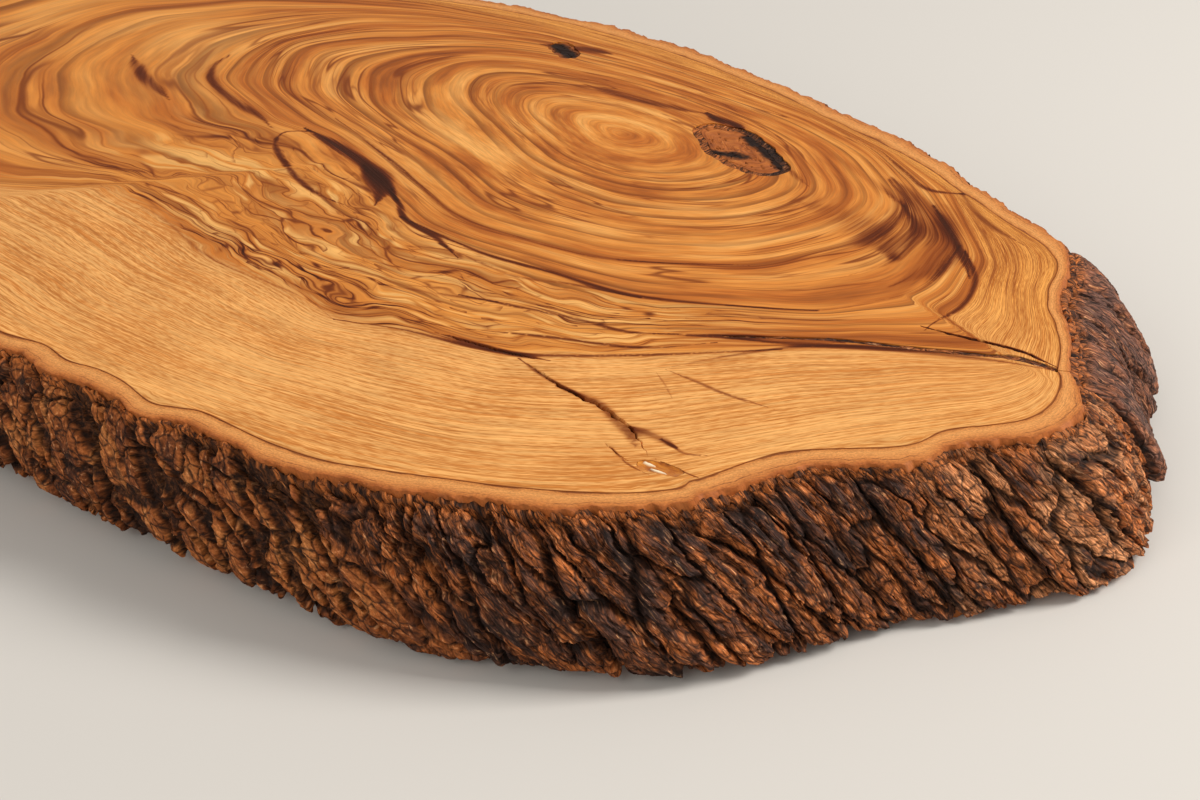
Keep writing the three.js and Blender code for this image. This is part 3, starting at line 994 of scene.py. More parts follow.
# %% [markdown]
# ## The slab
# The slab's top is sanded flat, with a few real hollows: the drying crack, some hair checks and
# the sockets of knots and gum. A sculptor would carve them into a dense grid. A net of triangles
# does better: wide where the face is plain, and close along each crack and thin streak. Blender's
# constrained triangulation ties it to the wavy cambium line and the slot of the grown-in bark.
# The sides follow the lean of the trunk down to a plain sawn underside.

# %% The line where wood meets bark
CAMBIUM_RIPPLE = 0.15
CAMBIUM_WAVE = 0.75
WAVE_SIZE = 21.0
WAVE_STEPS = 8
# The waves that show in front: distance along the rim before the notch, and how far out
SEEN_WAVES = [
    (0, 0), (4, 0.7), (18, 0.3), (27, -0.7), (35, -1.3), (41, 1.3), (46, 1.7), (52, 0.5), (63, -2.3),
    (69, -2), (80, 0.2), (82.5, 0.3), (85.5, 1.6), (94, 0.7), (104, -0.3), (122, -0.7), (136, 0), (146, 1),
    (158, 0.6), (173, -0.9), (179, 0.6), (184, 1.7), (193, -0.8), (200, -1.3), (207, -0.2), (215, -1.4),
    (225, 0.5), (235, 0),
]
seen_line = curve_through(SEEN_WAVES, WAVE_STEPS)
notch_way = from_rim(np.array([[*notch, THICKNESS]]))[0][0]


def round_rim(seed, way, size, layers=3):
    """Noise along the rim that closes on itself."""
    lap, unit = laps(size)
    return rough(seed, way / unit, np.zeros(np.shape(way)) + 0.5, lap, layers)


def cambium(way):
    """How far the wood's edge wavers in or out."""
    before_notch = (notch_way - way) % RIM_LENGTH
    last = SEEN_WAVES[-1][0]
    hidden = ramp(last, last + WAVE_SIZE, before_notch)
    hidden = hidden * ramp(RIM_LENGTH, RIM_LENGTH - WAVE_SIZE, before_notch)
    ripple = CAMBIUM_RIPPLE + (CAMBIUM_WAVE - CAMBIUM_RIPPLE) * hidden
    return np.interp(before_notch, *seen_line.T) + ripple * round_rim(91, way, WAVE_SIZE)


# %% The slot of the grown-in bark
SLOT_GAP = 0.08
SEAM_STEPS = 6
SEAM_RAGGED = 0.25
SEAM_CRUMBS = 14


def seam_middle():
    """The middle line of the grown-in bark from the notch inwards, and half its width."""
    from_notch = np.argsort(np.hypot(*(sheet_edge - notch).T))
    pairs = sheet_edge[from_notch].reshape(-1, 2, 2)
    halves = np.hypot(*(pairs[:, 0] - pairs[:, 1]).T) / 2
    line = curve_through(pairs.mean(axis=1), SEAM_STEPS)
    shares = np.linspace(0, 1, len(line))
    half = np.interp(shares, np.linspace(0, 1, len(halves)), halves)
    return line, half * (1 + SEAM_RAGGED * rough(95, shares * SEAM_CRUMBS, shares * 0 + 0.5))


def beside(line, offset):
    """A line moved to its left by an offset."""
    run = np.gradient(line, axis=0)
    left = np.stack([-run[:, 1], run[:, 0]], axis=1) / np.hypot(*run.T)[:, None]
    return line + left * np.reshape(offset, (-1, 1))


seam_line, seam_half = seam_middle()
print("grown-in bark:", len(seam_line), "points, up to", round(2 * seam_half.max(), 2), "mm wide")

# %% The slab's edge
EDGE_STEP = 0.9
MOUTH_GAP = 3 * SLOT_GAP


def slab_ring():
    """The closed edge of the top face, with the slot."""
    mouth = seam_half[0] + MOUTH_GAP
    steps = round(RIM_LENGTH / EDGE_STEP)
    ways = notch_way + np.linspace(mouth, RIM_LENGTH - mouth, steps)
    rim = on_rim(ways, cambium(ways), THICKNESS)[:, :2]
    nose_side = beside(seam_line, seam_half + SLOT_GAP)
    rear_side = beside(seam_line, -seam_half - SLOT_GAP)
    return np.vstack([rim, nose_side, rear_side[::-1]])


# %% Inlays and their sockets
INLAY_STEP = 0.45
INLAY_ROUNDING = 0.8
INLAY_WAVER = 0.9
INLAY_WAVES = 9
SOCKET_GAP = 0.1
SLEEVE_OUT = 2.0
SOCKET_WALL = 0.12
# inlay: how far the edge of its socket lies outside it, its waver, the socket's floor
SOCKETS = {
    "branch_knot": (SLEEVE_OUT, 1.0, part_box("knot_bark_sleeve")[0].z / MM),
    "pin_knot": (SOCKET_GAP, 0.7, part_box("pin_knot")[0].z / MM),
    "gum_pocket": (SOCKET_GAP, 0.35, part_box("gum_pocket")[0].z / MM),
}


def inlay_line(name, grow):
    """The wavy edge of an inlay, moved out by a distance."""
    line = evenly(sawn_edge(name), INLAY_STEP)
    line = soften(line, INLAY_ROUNDING, INLAY_STEP)
    run = np.roll(line, -2, axis=0) - np.roll(line, 2, axis=0)
    out = np.stack([run[:, 1], -run[:, 0]], axis=1) / np.hypot(*run.T)[:, None]
    share = np.arange(len(line)) / len(line)
    waver = SOCKETS[name][1] * rough(101 + len(name), share * INLAY_WAVES, share * 0 + 0.5, INLAY_WAVES, 3)
    return line + out * (grow + waver * INLAY_WAVER)[:, None]


def within(points, line):
    """Which points lie inside a closed line: from there, a ray crosses the line an odd number of times."""
    x, y = points.T
    inside = np.zeros(len(points), bool)
    for (x0, y0), (x1, y1) in zip(line, np.roll(line, -1, axis=0)):
        if y0 != y1:
            passes = (y0 > y) != (y1 > y)
            inside ^= passes & (x < x0 + (x1 - x0) * (y - y0) / (y1 - y0))
    return inside


# %% Cracks
# name: half width, depth, points
CRACKS = {
    "drying_crack": (0.42, 1.9, [(74.5, -43.4), (84.5, -45.8), (96, -46.9), (103.6, -49.4),
                                 (110.4, -53.6)]),
    "low_check": (0.14, 0.4, [(103, -55.7), (107.2, -57.1), (110.4, -57.9)]),
    "upper_seam": (0.35, 1.4, [(147, 17), (140, 18), (127.5, 15.5), (121, 14.5)]),
    "heart_split": (0.3, 1.0, [(55, -45.2), (61.5, -44), (69.5, -42.5), (76, -40.5)]),
}
CRACK_RAIL_STEP = 0.45
CRACK_RAILS = (-1.7, -1.0, -0.55, 0.0, 0.55, 1.0, 1.7)
CRACK_CLEAR = 2.4
CRACK_BEND_SIZE = 2.2
# a crack's opening at its tips, as a share of its width, and how ragged and how steep its sides are
CRACK_TIP = 0.15
CRACK_RAGGED = 0.35
CRACK_STEEP = 0.7
CRACK_MARGIN = 2


def in_steps(places, step):
    """A smooth open line through a few points, cut into steps of about the given length."""
    line = curve_through(places, STROKE_STEPS)
    steps = round(np.hypot(*np.diff(line, axis=0).T).sum() / step)
    return line[np.linspace(0, len(line) - 1, steps).round().astype(int)]


def crack_line(name):
    half, _, places = CRACKS[name]
    line = in_steps(places, CRACK_RAIL_STEP)
    shares = np.linspace(0, 1, len(line))
    waver = half * rough_at(111, line, CRACK_BEND_SIZE)
    opening = CRACK_TIP + (1 - CRACK_TIP) * np.sin(np.pi * shares)
    lens = half * opening * (1 + CRACK_RAGGED * rough_at(115, line, 1.0))
    return beside(line, waver), lens


def crack_depth(points):
    """How deep the cracks are at points of the top face."""
    deep = np.zeros(len(points))
    for name, (_, depth, _) in CRACKS.items():
        line, lens = crack_line(name)
        box = (points > line.min(axis=0) - CRACK_MARGIN) & (points < line.max(axis=0) + CRACK_MARGIN)
        close = np.flatnonzero(box.all(axis=1))
        distance, share = near_line(points[close], line)
        half = np.interp(share, np.linspace(0, 1, len(lens)), lens)
        groove = depth * np.clip(1 - distance / half, 0, 1) ** CRACK_STEEP * (half / half.max())
        deep[close] = np.maximum(deep[close], groove)
    return deep


# %% The net of the top face
TOP_GRID = 0.95
GRID_SHAKE = 0.2
RIM_CLEAR = 0.9
INLAY_CLEAR = 0.5
# thin strokes get rails of their own, at these shares of their width
THIN_STROKE = 1.75
STROKE_RAILS = (-1.4, -0.9, -0.45, 0.0, 0.45, 0.9, 1.4)
STROKE_RAIL_STEP = 0.8


def honeycomb(low, high, size):
    """Points in staggered rows, each a little off its place so that no lines show."""
    columns = np.arange(low[0], high[0], size)
    rows = np.arange(low[1], high[1], size * math.sqrt(3) / 2)
    x, y = np.meshgrid(columns, rows)
    x = x + np.where(np.arange(len(rows)) % 2, size / 2, 0)[:, None]
    i, j = np.meshgrid(np.arange(len(columns)), np.arange(len(rows)))
    x = x + GRID_SHAKE * size * (chance(121, i, j) - 0.5)
    y = y + GRID_SHAKE * size * (chance(122, i, j) - 0.5)
    return np.stack([x.ravel(), y.ravel()], axis=1)


def open_points(size):
    """Points of the open face, clear of its rim and of the slot."""
    points = honeycomb(rim_line.min(axis=0), rim_line.max(axis=0), size)
    bearing, distance = bearing_and_reach(points)
    points = points[distance < ring_reaches[RIM_AGE](bearing) - RIM_CLEAR]
    slot_gap, share = near_line(points, seam_line)
    half = np.interp(share, np.linspace(0, 1, len(seam_half)), seam_half)
    return points[slot_gap > half + SLOT_GAP + size / 2]


def top_points():
    """Points of the top face, closer along cracks and thin strokes, and the closed edges it has to keep."""
    points = open_points(TOP_GRID)
    rails = []
    for name, (half, _, _) in CRACKS.items():
        line, lens = crack_line(name)
        rails += [beside(line, lens * rail) for rail in CRACK_RAILS]
        points = points[near_line(points, line)[0] > half * CRACK_CLEAR]
    for width, _, places in STROKES.values():
        if width < THIN_STROKE:
            rails += [beside(in_steps(places, STROKE_RAIL_STEP), width * rail) for rail in STROKE_RAILS]
    edges = [slab_ring()]
    for name, (grow, _, _) in SOCKETS.items():
        edges += [inlay_line(name, grow), inlay_line(name, grow - SOCKET_WALL)]
        outside = within(points, inlay_line(name, grow + INLAY_CLEAR))
        inner = within(points, inlay_line(name, grow - INLAY_CLEAR))
        points = points[~outside | inner]
    points = np.vstack([points, *rails])
    return points[within(points, edges[0])], edges


# %% Tie the net
NET_EXACT = 1e-4


def tie_net(points, edges):
    """Triangles over the points, inside the first closed edge, keeping every edge."""
    ties = []
    start = len(points)
    for edge in edges:
        index = start + np.arange(len(edge))
        ties += list(zip(index.tolist(), np.roll(index, -1).tolist()))
        start += len(edge)
    corners = [Vector(point) for point in np.vstack([points, *edges]).tolist()]
    verts, _, faces, *_ = delaunay_2d_cdt(corners, ties, [], 1, NET_EXACT)
    verts = np.array([tuple(vert) for vert in verts])
    faces = np.array([face for face in faces if len(face) == 3])
    a, b, c = verts[faces].transpose(1, 0, 2)
    turn = (b - a)[:, 0] * (c - a)[:, 1] - (b - a)[:, 1] * (c - a)[:, 0]
    return verts, np.where((turn > 0)[:, None], faces, faces[:, ::-1])


def sides_of(ring, foot, rows):
    """The slab's sides: rows of points from the top ring down to the foot, and their triangles."""
    levels = []
    for z in np.linspace(THICKNESS, 0, rows):
        level = ring + (foot - ring) * (1 - z / THICKNESS)
        levels.append(np.column_stack([level, np.full(len(ring), z)]))
    quads = skin_faces(rows, len(ring))
    faces = np.vstack([quads[:, [0, 2, 1]], quads[:, [0, 3, 2]]])
    return np.vstack(levels), faces


# %% Make the slab
FOOT_GRID = 2.3
SIDE_ROWS = 7


def slab_heights(flat):
    """The height of the top face with its cracks and sockets."""
    height = THICKNESS - crack_depth(flat)
    for name, (grow, _, floor) in SOCKETS.items():
        height[within(flat, inlay_line(name, grow - SOCKET_WALL / 2))] = floor - SOCKET_GAP
    return height


def make_slab():
    points, edges = top_points()
    flat, top_faces = tie_net(points, edges)
    top = np.column_stack([flat, slab_heights(flat)])
    foot_ring = edges[0] + LEAN
    foot_flat, foot_faces = tie_net(open_points(FOOT_GRID) + LEAN, [foot_ring])
    foot = np.column_stack([foot_flat, np.zeros(len(foot_flat))])
    side, side_faces = sides_of(edges[0], foot_ring, SIDE_ROWS)
    points = np.vstack([top, side, foot])
    faces = [top_faces, side_faces + len(top), foot_faces[:, ::-1] + len(top) + len(side)]
    slab = make_piece("olive_wood_slab", points, np.vstack(faces))
    weld(slab)
    return slab


def weld(piece):
    """Joins points that lie on each other, so that the skin is closed."""
    work = bmesh.new()
    work.from_mesh(piece.data)
    bmesh.ops.remove_doubles(work, verts=work.verts, dist=WELD)
    work.to_mesh(piece.data)
    work.free()
    piece.data.set_sharp_from_angle(angle=SHARP_TURN)


def piece_points(piece):
    points = np.empty(len(piece.data.vertices) * 3, np.float32)
    piece.data.vertices.foreach_get("co", points)
    return points.reshape(-1, 3).astype(float) / MM


# %% Dress the slab
ABOVE_FOOT = 0.01
# painted shade: cracks turn darker between these depths, up to this darkness
HOLLOW_SHADE_DEPTHS = (0.1, 1.6)
HOLLOW_PAINTED_SHADE = 0.6


def dress_slab(slab):
    points = piece_points(slab)
    hollow = np.where(points[:, 2] > ABOVE_FOOT, crack_depth(points[:, :2]), 0)
    below = np.where(hollow > 0, 0, THICKNESS - points[:, 2])[:, None]
    numbers = figure_of(points[:, :2] - LEAN * below / THICKNESS)
    # painted shade in the cracks, darker where they are deeper, joins the streaks
    numbers["streak_and_shade"] = np.maximum(numbers["streak_and_shade"], HOLLOW_PAINTED_SHADE * ramp(*HOLLOW_SHADE_DEPTHS, hollow))
    give_numbers(slab, **numbers)
    dress(slab, olive_finish(), "olive_wood", "olive_slab")


olive_wood_slab = make_slab()
dress_slab(olive_wood_slab)
print("slab:", len(olive_wood_slab.data.polygons), "triangles")

# %% [markdown]
# ## The inner bark
# Under the rugged crust lies the inner bark, a tan band a few millimetres wide. The saw left it
# nearly as flat as the wood, but it has dried more: it sits a little lower and crumbles towards
# the crust. Six lengths of it lie round the board. Each is a skin of cross-sections, so that both
# of its edges can waver freely while the strip stays one closed body.

# %% Where a strip or plate of bark lies
WHOLE_HEIGHT = (0, THICKNESS + 1)


def span_of(name, low, high):
    """From where to where along the rim a node reaches between two heights, and how far out."""
    points = node_points(name)
    way, out = from_rim(points)
    turn = 2 * np.pi / RIM_LENGTH
    middle = np.angle(np.exp(1j * way * turn).mean()) / turn
    way = middle + (way - middle + RIM_LENGTH / 2) % RIM_LENGTH - RIM_LENGTH / 2
    level = (points[:, 2] > low) & (points[:, 2] < high)
    return way[level].min(), way[level].max(), out.max()


# %% The line between inner bark and crust
BAST_WIDTH = 4.5
BAST_WANDER = 1.15
BAST_CRUMBS = 0.55
WANDER_SIZE = 12.0
CRUMBS_SIZE = 3.0
LOBE_BAST_WIDTH = 2.0
# the band narrows from this far before the rear lobe to this far past its start
LOBE_FADE = 14.0
LOBE_FULL = 2.0
lobe_from, lobe_to, _ = span_of("inner_bark_rear_lobe", *WHOLE_HEIGHT)


def on_lobe(way):
    """1 on the rear lobe, where hardly any inner bark shows, and 0 elsewhere."""
    past = (way - lobe_from + RIM_LENGTH / 4) % RIM_LENGTH - RIM_LENGTH / 4
    length = lobe_to - lobe_from
    return ramp(-LOBE_FADE, LOBE_FULL, past) * ramp(length, length - LOBE_FADE, past)


def bast_edge(way):
    """How far out the inner bark ends."""
    width = BAST_WIDTH + (LOBE_BAST_WIDTH - BAST_WIDTH) * on_lobe(way)
    wander = BAST_WANDER * round_rim(131, way, WANDER_SIZE, 3)
    crumbs = BAST_CRUMBS * round_rim(135, way, CRUMBS_SIZE, 4)
    return cambium(way) + width + width / BAST_WIDTH * (wander + crumbs)


# %% A strip of inner bark
BAST_STEP = 0.5
BAST_ACROSS = 13
BAST_DOWN = 5
BAST_GAP = 0.07
BAST_FOOT = 0.3
END_REACH = 0.12
BAST_DROP = 0.05
BAST_CRUMB_SIZE = (1.7, 1.1)
# how far crumbs have sunk: anywhere, and more at the outer edge
CRUMB_SINK = 0.03
EDGE_SINK = 0.3
CRUMBLY_SHARE = 0.85


def bast_top(way, out, share):
    """Heights of a strip's sawn face, which is nearly flat and crumbles towards the crust."""
    lap, unit = laps(BAST_CRUMB_SIZE[0])
    crumb = rough(141, np.repeat(way[:, None], BAST_ACROSS, 1) / unit, out / BAST_CRUMB_SIZE[1], lap)
    sink = CRUMB_SINK + EDGE_SINK * ramp(CRUMBLY_SHARE, 1.0, share)
    return THICKNESS - BAST_DROP - sink * np.clip(0.5 + 1.3 * crumb, 0, 2)


def bast_section(way):
    """The closed outlines of a strip at the given places along the rim: ways out, heights, shares."""
    inner, outer = cambium(way) + BAST_GAP, bast_edge(way)
    share = np.linspace(0, 1, BAST_ACROSS)
    out = inner[:, None] + (outer - inner)[:, None] * share
    top = bast_top(way, out, share)
    down = np.linspace(0, 1, BAST_DOWN + 1)[1:]
    outer_z = top[:, -1:] * (1 - down) + BAST_FOOT * down
    inner_z = BAST_FOOT * (1 - down[:-1]) + top[:, :1] * down[:-1]
    outs = np.hstack([out, *(np.repeat(edge[:, None], BAST_DOWN, 1) for edge in (outer, inner))])
    heights = np.hstack([top, outer_z, np.full((len(way), 1), BAST_FOOT), inner_z])
    shares = np.concatenate([share, np.ones(BAST_DOWN), np.zeros(BAST_DOWN)])
    return outs, heights, np.repeat(shares[None], len(way), 0)


def bast_strip(name, finish):
    start, end, _ = span_of(name, *WHOLE_HEIGHT)
    way = np.linspace(start - END_REACH, end + END_REACH, round((end - start) / BAST_STEP))
    outs, heights, shares = bast_section(way)
    strip = make_skin(f"{name}_strip", on_rim(way[:, None], outs, heights))
    places = np.stack([np.repeat(way, outs.shape[1]), outs.ravel(), heights.ravel()], axis=1)
    give_numbers(strip, rim_place=places, across=shares.ravel())
    dress(strip, finish, "inner_bark", name)
    return outs.size


# %% Finish of the inner bark
BAST_STEPS = [
    (0.0, shade(142, 78, 36)),
    (0.06, shade(202, 128, 64)),
    (0.3, shade(226, 155, 86)),
    (0.66, shade(212, 137, 72)),
    (0.88, shade(192, 115, 56)),
    (1.0, shade(166, 92, 42)),
]
BAST_LINE = shade(118, 62, 29)
BAST_LINE_AT = 0.72
# sizes of noise in millimetres: along the rim, out, up
BAST_DASH_SIZE = (2.6, 0.22, 2)
BAST_SAND_SIZE = (0.5, 0.35, 1)
BAST_SWAY_SIZE = (9, 6, 12)
BAST_LINE_BREAKS = (7, 40, 40)
BAST_ROUGHNESS = 0.6
BAST_SHEEN = 0.2
BAST_GRAIN = 0.15


def bast_finish():
    finish, tree, shader = new_finish("inner_bark")
    place = stored(tree, "rim_place").outputs["Vector"]
    across = stored(tree, "across").outputs["Fac"]
    dashes = cloud(tree, place, BAST_DASH_SIZE, 3.0, 0.6)
    sand = cloud(tree, place, BAST_SAND_SIZE, 3.0, 0.65)
    sway = cloud(tree, place, BAST_SWAY_SIZE, 3.0)
    spot = mixed(tree, (across, 1.0), (dashes, 0.1), (sway, 0.4), (-0.25, 1.0))
    colour = blend_steps(tree, spot, *BAST_STEPS)
    off_line = count(tree, "ABSOLUTE", count(tree, "SUBTRACT", spot, BAST_LINE_AT))
    some = ease(tree, cloud(tree, place, BAST_LINE_BREAKS, 2.0), 0.42, 0.56, 0.0, 0.8)
    line = times(tree, ease(tree, off_line, 0.0, 0.03, 1.0, 0.0), some)
    colour = tint(tree, line, colour, BAST_LINE)
    grain = mixed(tree, (dashes, 0.5), (sand, 0.5))
    colour = brightened(tree, colour, ease(tree, grain, 0.38, 0.62, 0.74, 1.14))
    tree.links.new(colour, shader.inputs["Base Color"])
    shader.inputs["Roughness"].default_value = BAST_ROUGHNESS
    shader.inputs["Specular IOR Level"].default_value = BAST_SHEEN
    grain_relief(tree, shader, grain, BAST_GRAIN)
    return finish


bast = bast_finish()
strip_names = [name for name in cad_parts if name.startswith("inner_bark_")]
strip_points = sum(bast_strip(name, bast) for name in strip_names)
print("inner bark:", len(strip_names), "strips with", strip_points, "points")

# %% [markdown]
# ## The crust
# Olive bark is a crust of thick plates. It splits as the trunk grows: first into long plates with
# black fissures between them, then each plate into chips along the grain or into broad scales.
# Weather turns the tops grey-mauve, and where a scale has dropped off, orange-brown bark shows.
# Plates, chips, scales and hollows are modelled: each plate starts from a plain bulging profile,
# and they are cut into it, never added on top of it. Only the hair-fine strands and the crackle
# are left to the finish, because they are finer than the mesh.
# The finish also paints shade into fissures, gaps and deep cuts, a highlight on the tops of strands, and
# light on the bark near the notch.

# %% Measure the plates
MEET_WITHIN = 3.0
TOP_ROW = (THICKNESS - 1.0, THICKNESS)
FOOT_ROW = (0.0, 1.2)


def measure_plates():
    """Start, end and spiral shift of every plate along the rim, and its thickest reach."""
    found = {}
    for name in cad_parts:
        if "_bark_" in name and name[-1].isdigit():
            start, end, far = span_of(name, *TOP_ROW)
            foot_start, foot_end, _ = span_of(name, *FOOT_ROW)
            shift = (foot_start + foot_end - start - end) / 2
            shift = (shift + RIM_LENGTH / 2) % RIM_LENGTH - RIM_LENGTH / 2
            found[name] = [start, end, shift, far]
    in_order = sorted(found.values())
    for plate, following in zip(in_order, in_order[1:]):
        if following[0] - plate[1] < MEET_WITHIN:
            plate[1] = following[0] = (plate[1] + following[0]) / 2
    return found


plates = measure_plates()
mean_shift = np.mean([shift for _, _, shift, _ in plates.values()])
print(len(plates), "plates, shifted by", round(mean_shift, 1), "mm on average")

# %% The character of the bark round the rim
STRETCHES = ("front", "corner", "nose", "rear_lobe", "back", "far_end")
# for each of them: how far the grain leans along the rim for each millimetre down, and how scaly it is
STRAND_SLANTS = (-0.1, 0.42, 0.4, 0.35, 0.2, -0.1)
SCALINESS = (2.0, 0.0, 0.0, 0.0, 0.4, 0.7)


def stretch_middle(name):
    start, end, _ = span_of(f"inner_bark_{name}", *WHOLE_HEIGHT)
    return (start + end) / 2 % RIM_LENGTH


stretch_middles = [stretch_middle(name) for name in STRETCHES]
print("the bark changes between", len(stretch_middles), "stretches of the rim")


def by_stretch(values, way):
    """A number that changes slowly from stretch to stretch of the rim."""
    return np.interp(way, stretch_middles, values, period=RIM_LENGTH)


def round_noise(seed, across, up, size, layers=3):
    """Noise on the bark that closes round the rim."""
    lap, unit = laps(size[0])
    return rough(seed, across / unit, up / size[1], lap, layers)


def split(seed, across, up, size, width):
    """Flakes of a size: how deep in the gap between two of them, and a number for each flake."""
    lap, unit = laps(size[0])
    first, second, owner = flakes(seed, across / unit, up / size[1], lap)
    return 1 - ramp(0.0, width, second - first), owner


# %% Plates and chips
# sizes along the rim and up, in millimetres
PLATE_SIZE = (6.2, 19.0)
CALM_PLATE_SIZE = (10.0, 44.0)
CHIP_SIZE = (1.75, 6.0)
# widths of the gaps, as shares of a flake
FISSURE_WIDTH = 0.16
CHIP_GAP_WIDTH = 0.3
# how deep fissures and the lowest plates lie, as shares of the crust, and chips in millimetres
FISSURE_CUT = 0.22
PLATE_STEP = 0.08
CHIP_GAP_CUT = 0.55
CHIP_STEP = 0.45
# how dark the finish paints the gaps between chips, as painted shade
CHIP_GAP_DARK = 0.62
# the rear lobe's bark is calm: fewer chips are left on it
CALM_CHIPS = 0.35


def plates_and_chips(across, up, thick, calm):
    """Bark that has split along its grain into plates, with chips on them: depth, gaps and tone."""
    fissure, plate = split(211, across, up, CALM_PLATE_SIZE if calm else PLATE_SIZE, FISSURE_WIDTH)
    chip_gap, chip = split(215, across, up, CHIP_SIZE, CHIP_GAP_WIDTH)
    chips = CALM_CHIPS if calm else 1.0
    deep = thick * (FISSURE_CUT * fissure + PLATE_STEP * plate)
    deep = deep + chips * (CHIP_GAP_CUT * chip_gap + CHIP_STEP * chip)
    return deep, np.maximum(fissure, chips * CHIP_GAP_DARK * chip_gap), (plate + chip) / 2


# %% Scales
SCALE_SIZE = (7.0, 13.0)
SPLINTER_SIZE = (2.4, 3.4)
SPLIT_SIZE = (9.0, 40.0)
SCALE_GAP_WIDTH = 0.13
# a long split opens where noise comes this near to its middle value
SPLIT_OPENS = (0.22, 0.06)
SCALE_GAP_CUT = 0.16
SCALE_STEP = 0.14
SPLIT_CUT = 0.34
SPLINTER_CUT = 0.12
# how dark the finish paints the gaps between splinters, as painted shade
SPLINTER_GAP_DARK = 0.25
SCALE_TONE = 0.8


def scales(across, up, thick):
    """Bark that has cracked like dried mud: broad scales, small chips and a few long black splits."""
    crack, scale = split(225, across, up, SCALE_SIZE, SCALE_GAP_WIDTH)
    chip_gap, chip = split(227, across, up, SPLINTER_SIZE, CHIP_GAP_WIDTH)
    long_split = ramp(*SPLIT_OPENS, np.abs(round_noise(228, across, up, SPLIT_SIZE)))
    deep = thick * (SCALE_GAP_CUT * crack + SCALE_STEP * scale + SPLIT_CUT * long_split)
    deep = deep + SPLINTER_CUT * (chip_gap + chip)
    gap = np.maximum(np.maximum(crack, long_split), SPLINTER_GAP_DARK * chip_gap)
    return deep, gap, SCALE_TONE * scale + (1 - SCALE_TONE) * chip


# %% Bent grain
# noise that bends the grain: how far, and the size of a bend along the rim and up
SIDE_BEND = (1.4, (7.0, 10.0))
FINE_BEND = (0.5, (1.6, 2.4))
UP_BEND = (3.0, (9.0, 12.0))


def strong_noise(seed, across, up, noise, layers=3):
    strength, size = noise
    return strength * round_noise(seed, across, up, size, layers)


def bend_grain(way, z):
    """Places in the bark's own grain: along the rim where it leans, how far it bends there, and up."""
    slanted = way - by_stretch(STRAND_SLANTS, way) * (THICKNESS - z)
    bend = strong_noise(201, slanted, z, SIDE_BEND) + strong_noise(205, slanted, z, FINE_BEND)
    return slanted, bend, z + strong_noise(207, slanted, z, UP_BEND)


# %% The weather's work on a plate
# the finish follows this share of the bend along the rim
FINISH_BEND = 0.4
# bark near the notch is painted paler, as painted light, and is more scaly, from this far before it
SUNLIT = (55.0, 25.0)
SUNLIT_SCALES = 0.2
SCALY_PATCH = (0.35, (14.0, 18.0))
SCALY_FROM = (0.35, 0.65)
HOLLOW_SIZE = (4.0, 14.0)
HOLLOW_FROM = (0.3, 0.45)
HOLLOW_CUT = 0.13
CALM_HOLLOW_CUT = 0.05
SCALY_HOLLOWS = 0.7
LUMP_SIZE = (15.0, 22.0)
LUMP_CUT = 0.09
GRIT = (0.14, (0.9, 1.3))
DEEPEST = 0.7


def bark_relief(way, z, thick, calm):
    """How deep the weather has cut at places on a plate, in millimetres, and what it has laid open."""
    slanted, bend, up = bend_grain(way, z)
    split_bark = plates_and_chips(slanted + bend, up, thick, calm)
    scaled_bark = scales(slanted + bend, up, thick)
    sunlit = ramp(*SUNLIT, (notch_way - way) % RIM_LENGTH)
    patchy = strong_noise(229, slanted, z, SCALY_PATCH)
    scaly = ramp(*SCALY_FROM, by_stretch(SCALINESS, way) + SUNLIT_SCALES * sunlit + patchy)
    deep, gap, tone = (plain + (scaled - plain) * scaly for plain, scaled in zip(split_bark, scaled_bark))
    hollow = ramp(*HOLLOW_FROM, round_noise(231, slanted, z, HOLLOW_SIZE))
    hollow_cut = (CALM_HOLLOW_CUT if calm else HOLLOW_CUT) * (1 - SCALY_HOLLOWS * scaly)
    lump_cut = LUMP_CUT * (1 + round_noise(235, slanted, z, LUMP_SIZE))
    deep = deep + thick * (lump_cut + hollow_cut * hollow) + strong_noise(241, slanted, z, GRIT, 2)
    numbers = {"gap": gap, "tone": tone, "hollow": hollow, "scaly": scaly, "sunlit": sunlit,
               "grey": np.full(np.shape(way), float(calm))}
    return np.clip(deep, 0, DEEPEST * thick), slanted + FINISH_BEND * bend, numbers


# %% The profile of a plate
SEAT = 5.3
PLATE_TOP = THICKNESS - 0.35
PLATE_FOOT = 0.6
# height from foot to top, reach from seat to thickest
PROFILE = [
    (1, 0), (1, 0.16), (0.93, 0.42), (0.8, 0.72), (0.55, 0.93), (0.25, 1), (0.08, 0.9), (0, 0.62), (0, 0),
]
PROFILE_STEPS = 14
BACK_ROWS = 7


def plate_profile(thick, step):
    """Points of the plain profile at even steps: reach from the seat, height, facing, and bark height."""
    corners = [(reach * thick, PLATE_FOOT + up * (PLATE_TOP - PLATE_FOOT)) for up, reach in PROFILE]
    line = curve_through(corners, PROFILE_STEPS)
    lengths = np.concatenate([[0], np.cumsum(np.hypot(*np.diff(line, axis=0).T))])
    ways = np.linspace(0, lengths[-1], round(lengths[-1] / step))
    line = np.stack([np.interp(ways, lengths, line[:, axis]) for axis in (0, 1)], axis=1)
    run = np.gradient(line, axis=0)
    facing = np.stack([-run[:, 1], run[:, 0]], axis=1) / np.hypot(*run.T)[:, None]
    return line, facing, THICKNESS - ways


# %% The edges of a plate
EDGE_WANDER = 1.3
EDGE_BEND_SIZE = 8
EDGE_FISSURE = 1.3
EDGE_DEPTH = 0.3
PLATE_GAP = 0.08
GAPE_SIZE = (4.0, 5.0)
GAPE_FROM = (-0.4, 0.4)
LEAST_GAPE = 0.35


def edge_line(start, shift, z):
    """Where a plate's edge runs along the rim at the given heights."""
    lap = round(RIM_LENGTH)
    wander = rough(251, np.zeros(np.shape(z)) + round(start % RIM_LENGTH) + 0.5, z / EDGE_BEND_SIZE, lap)
    return start + shift * (1 - z / THICKNESS) + EDGE_WANDER * wander


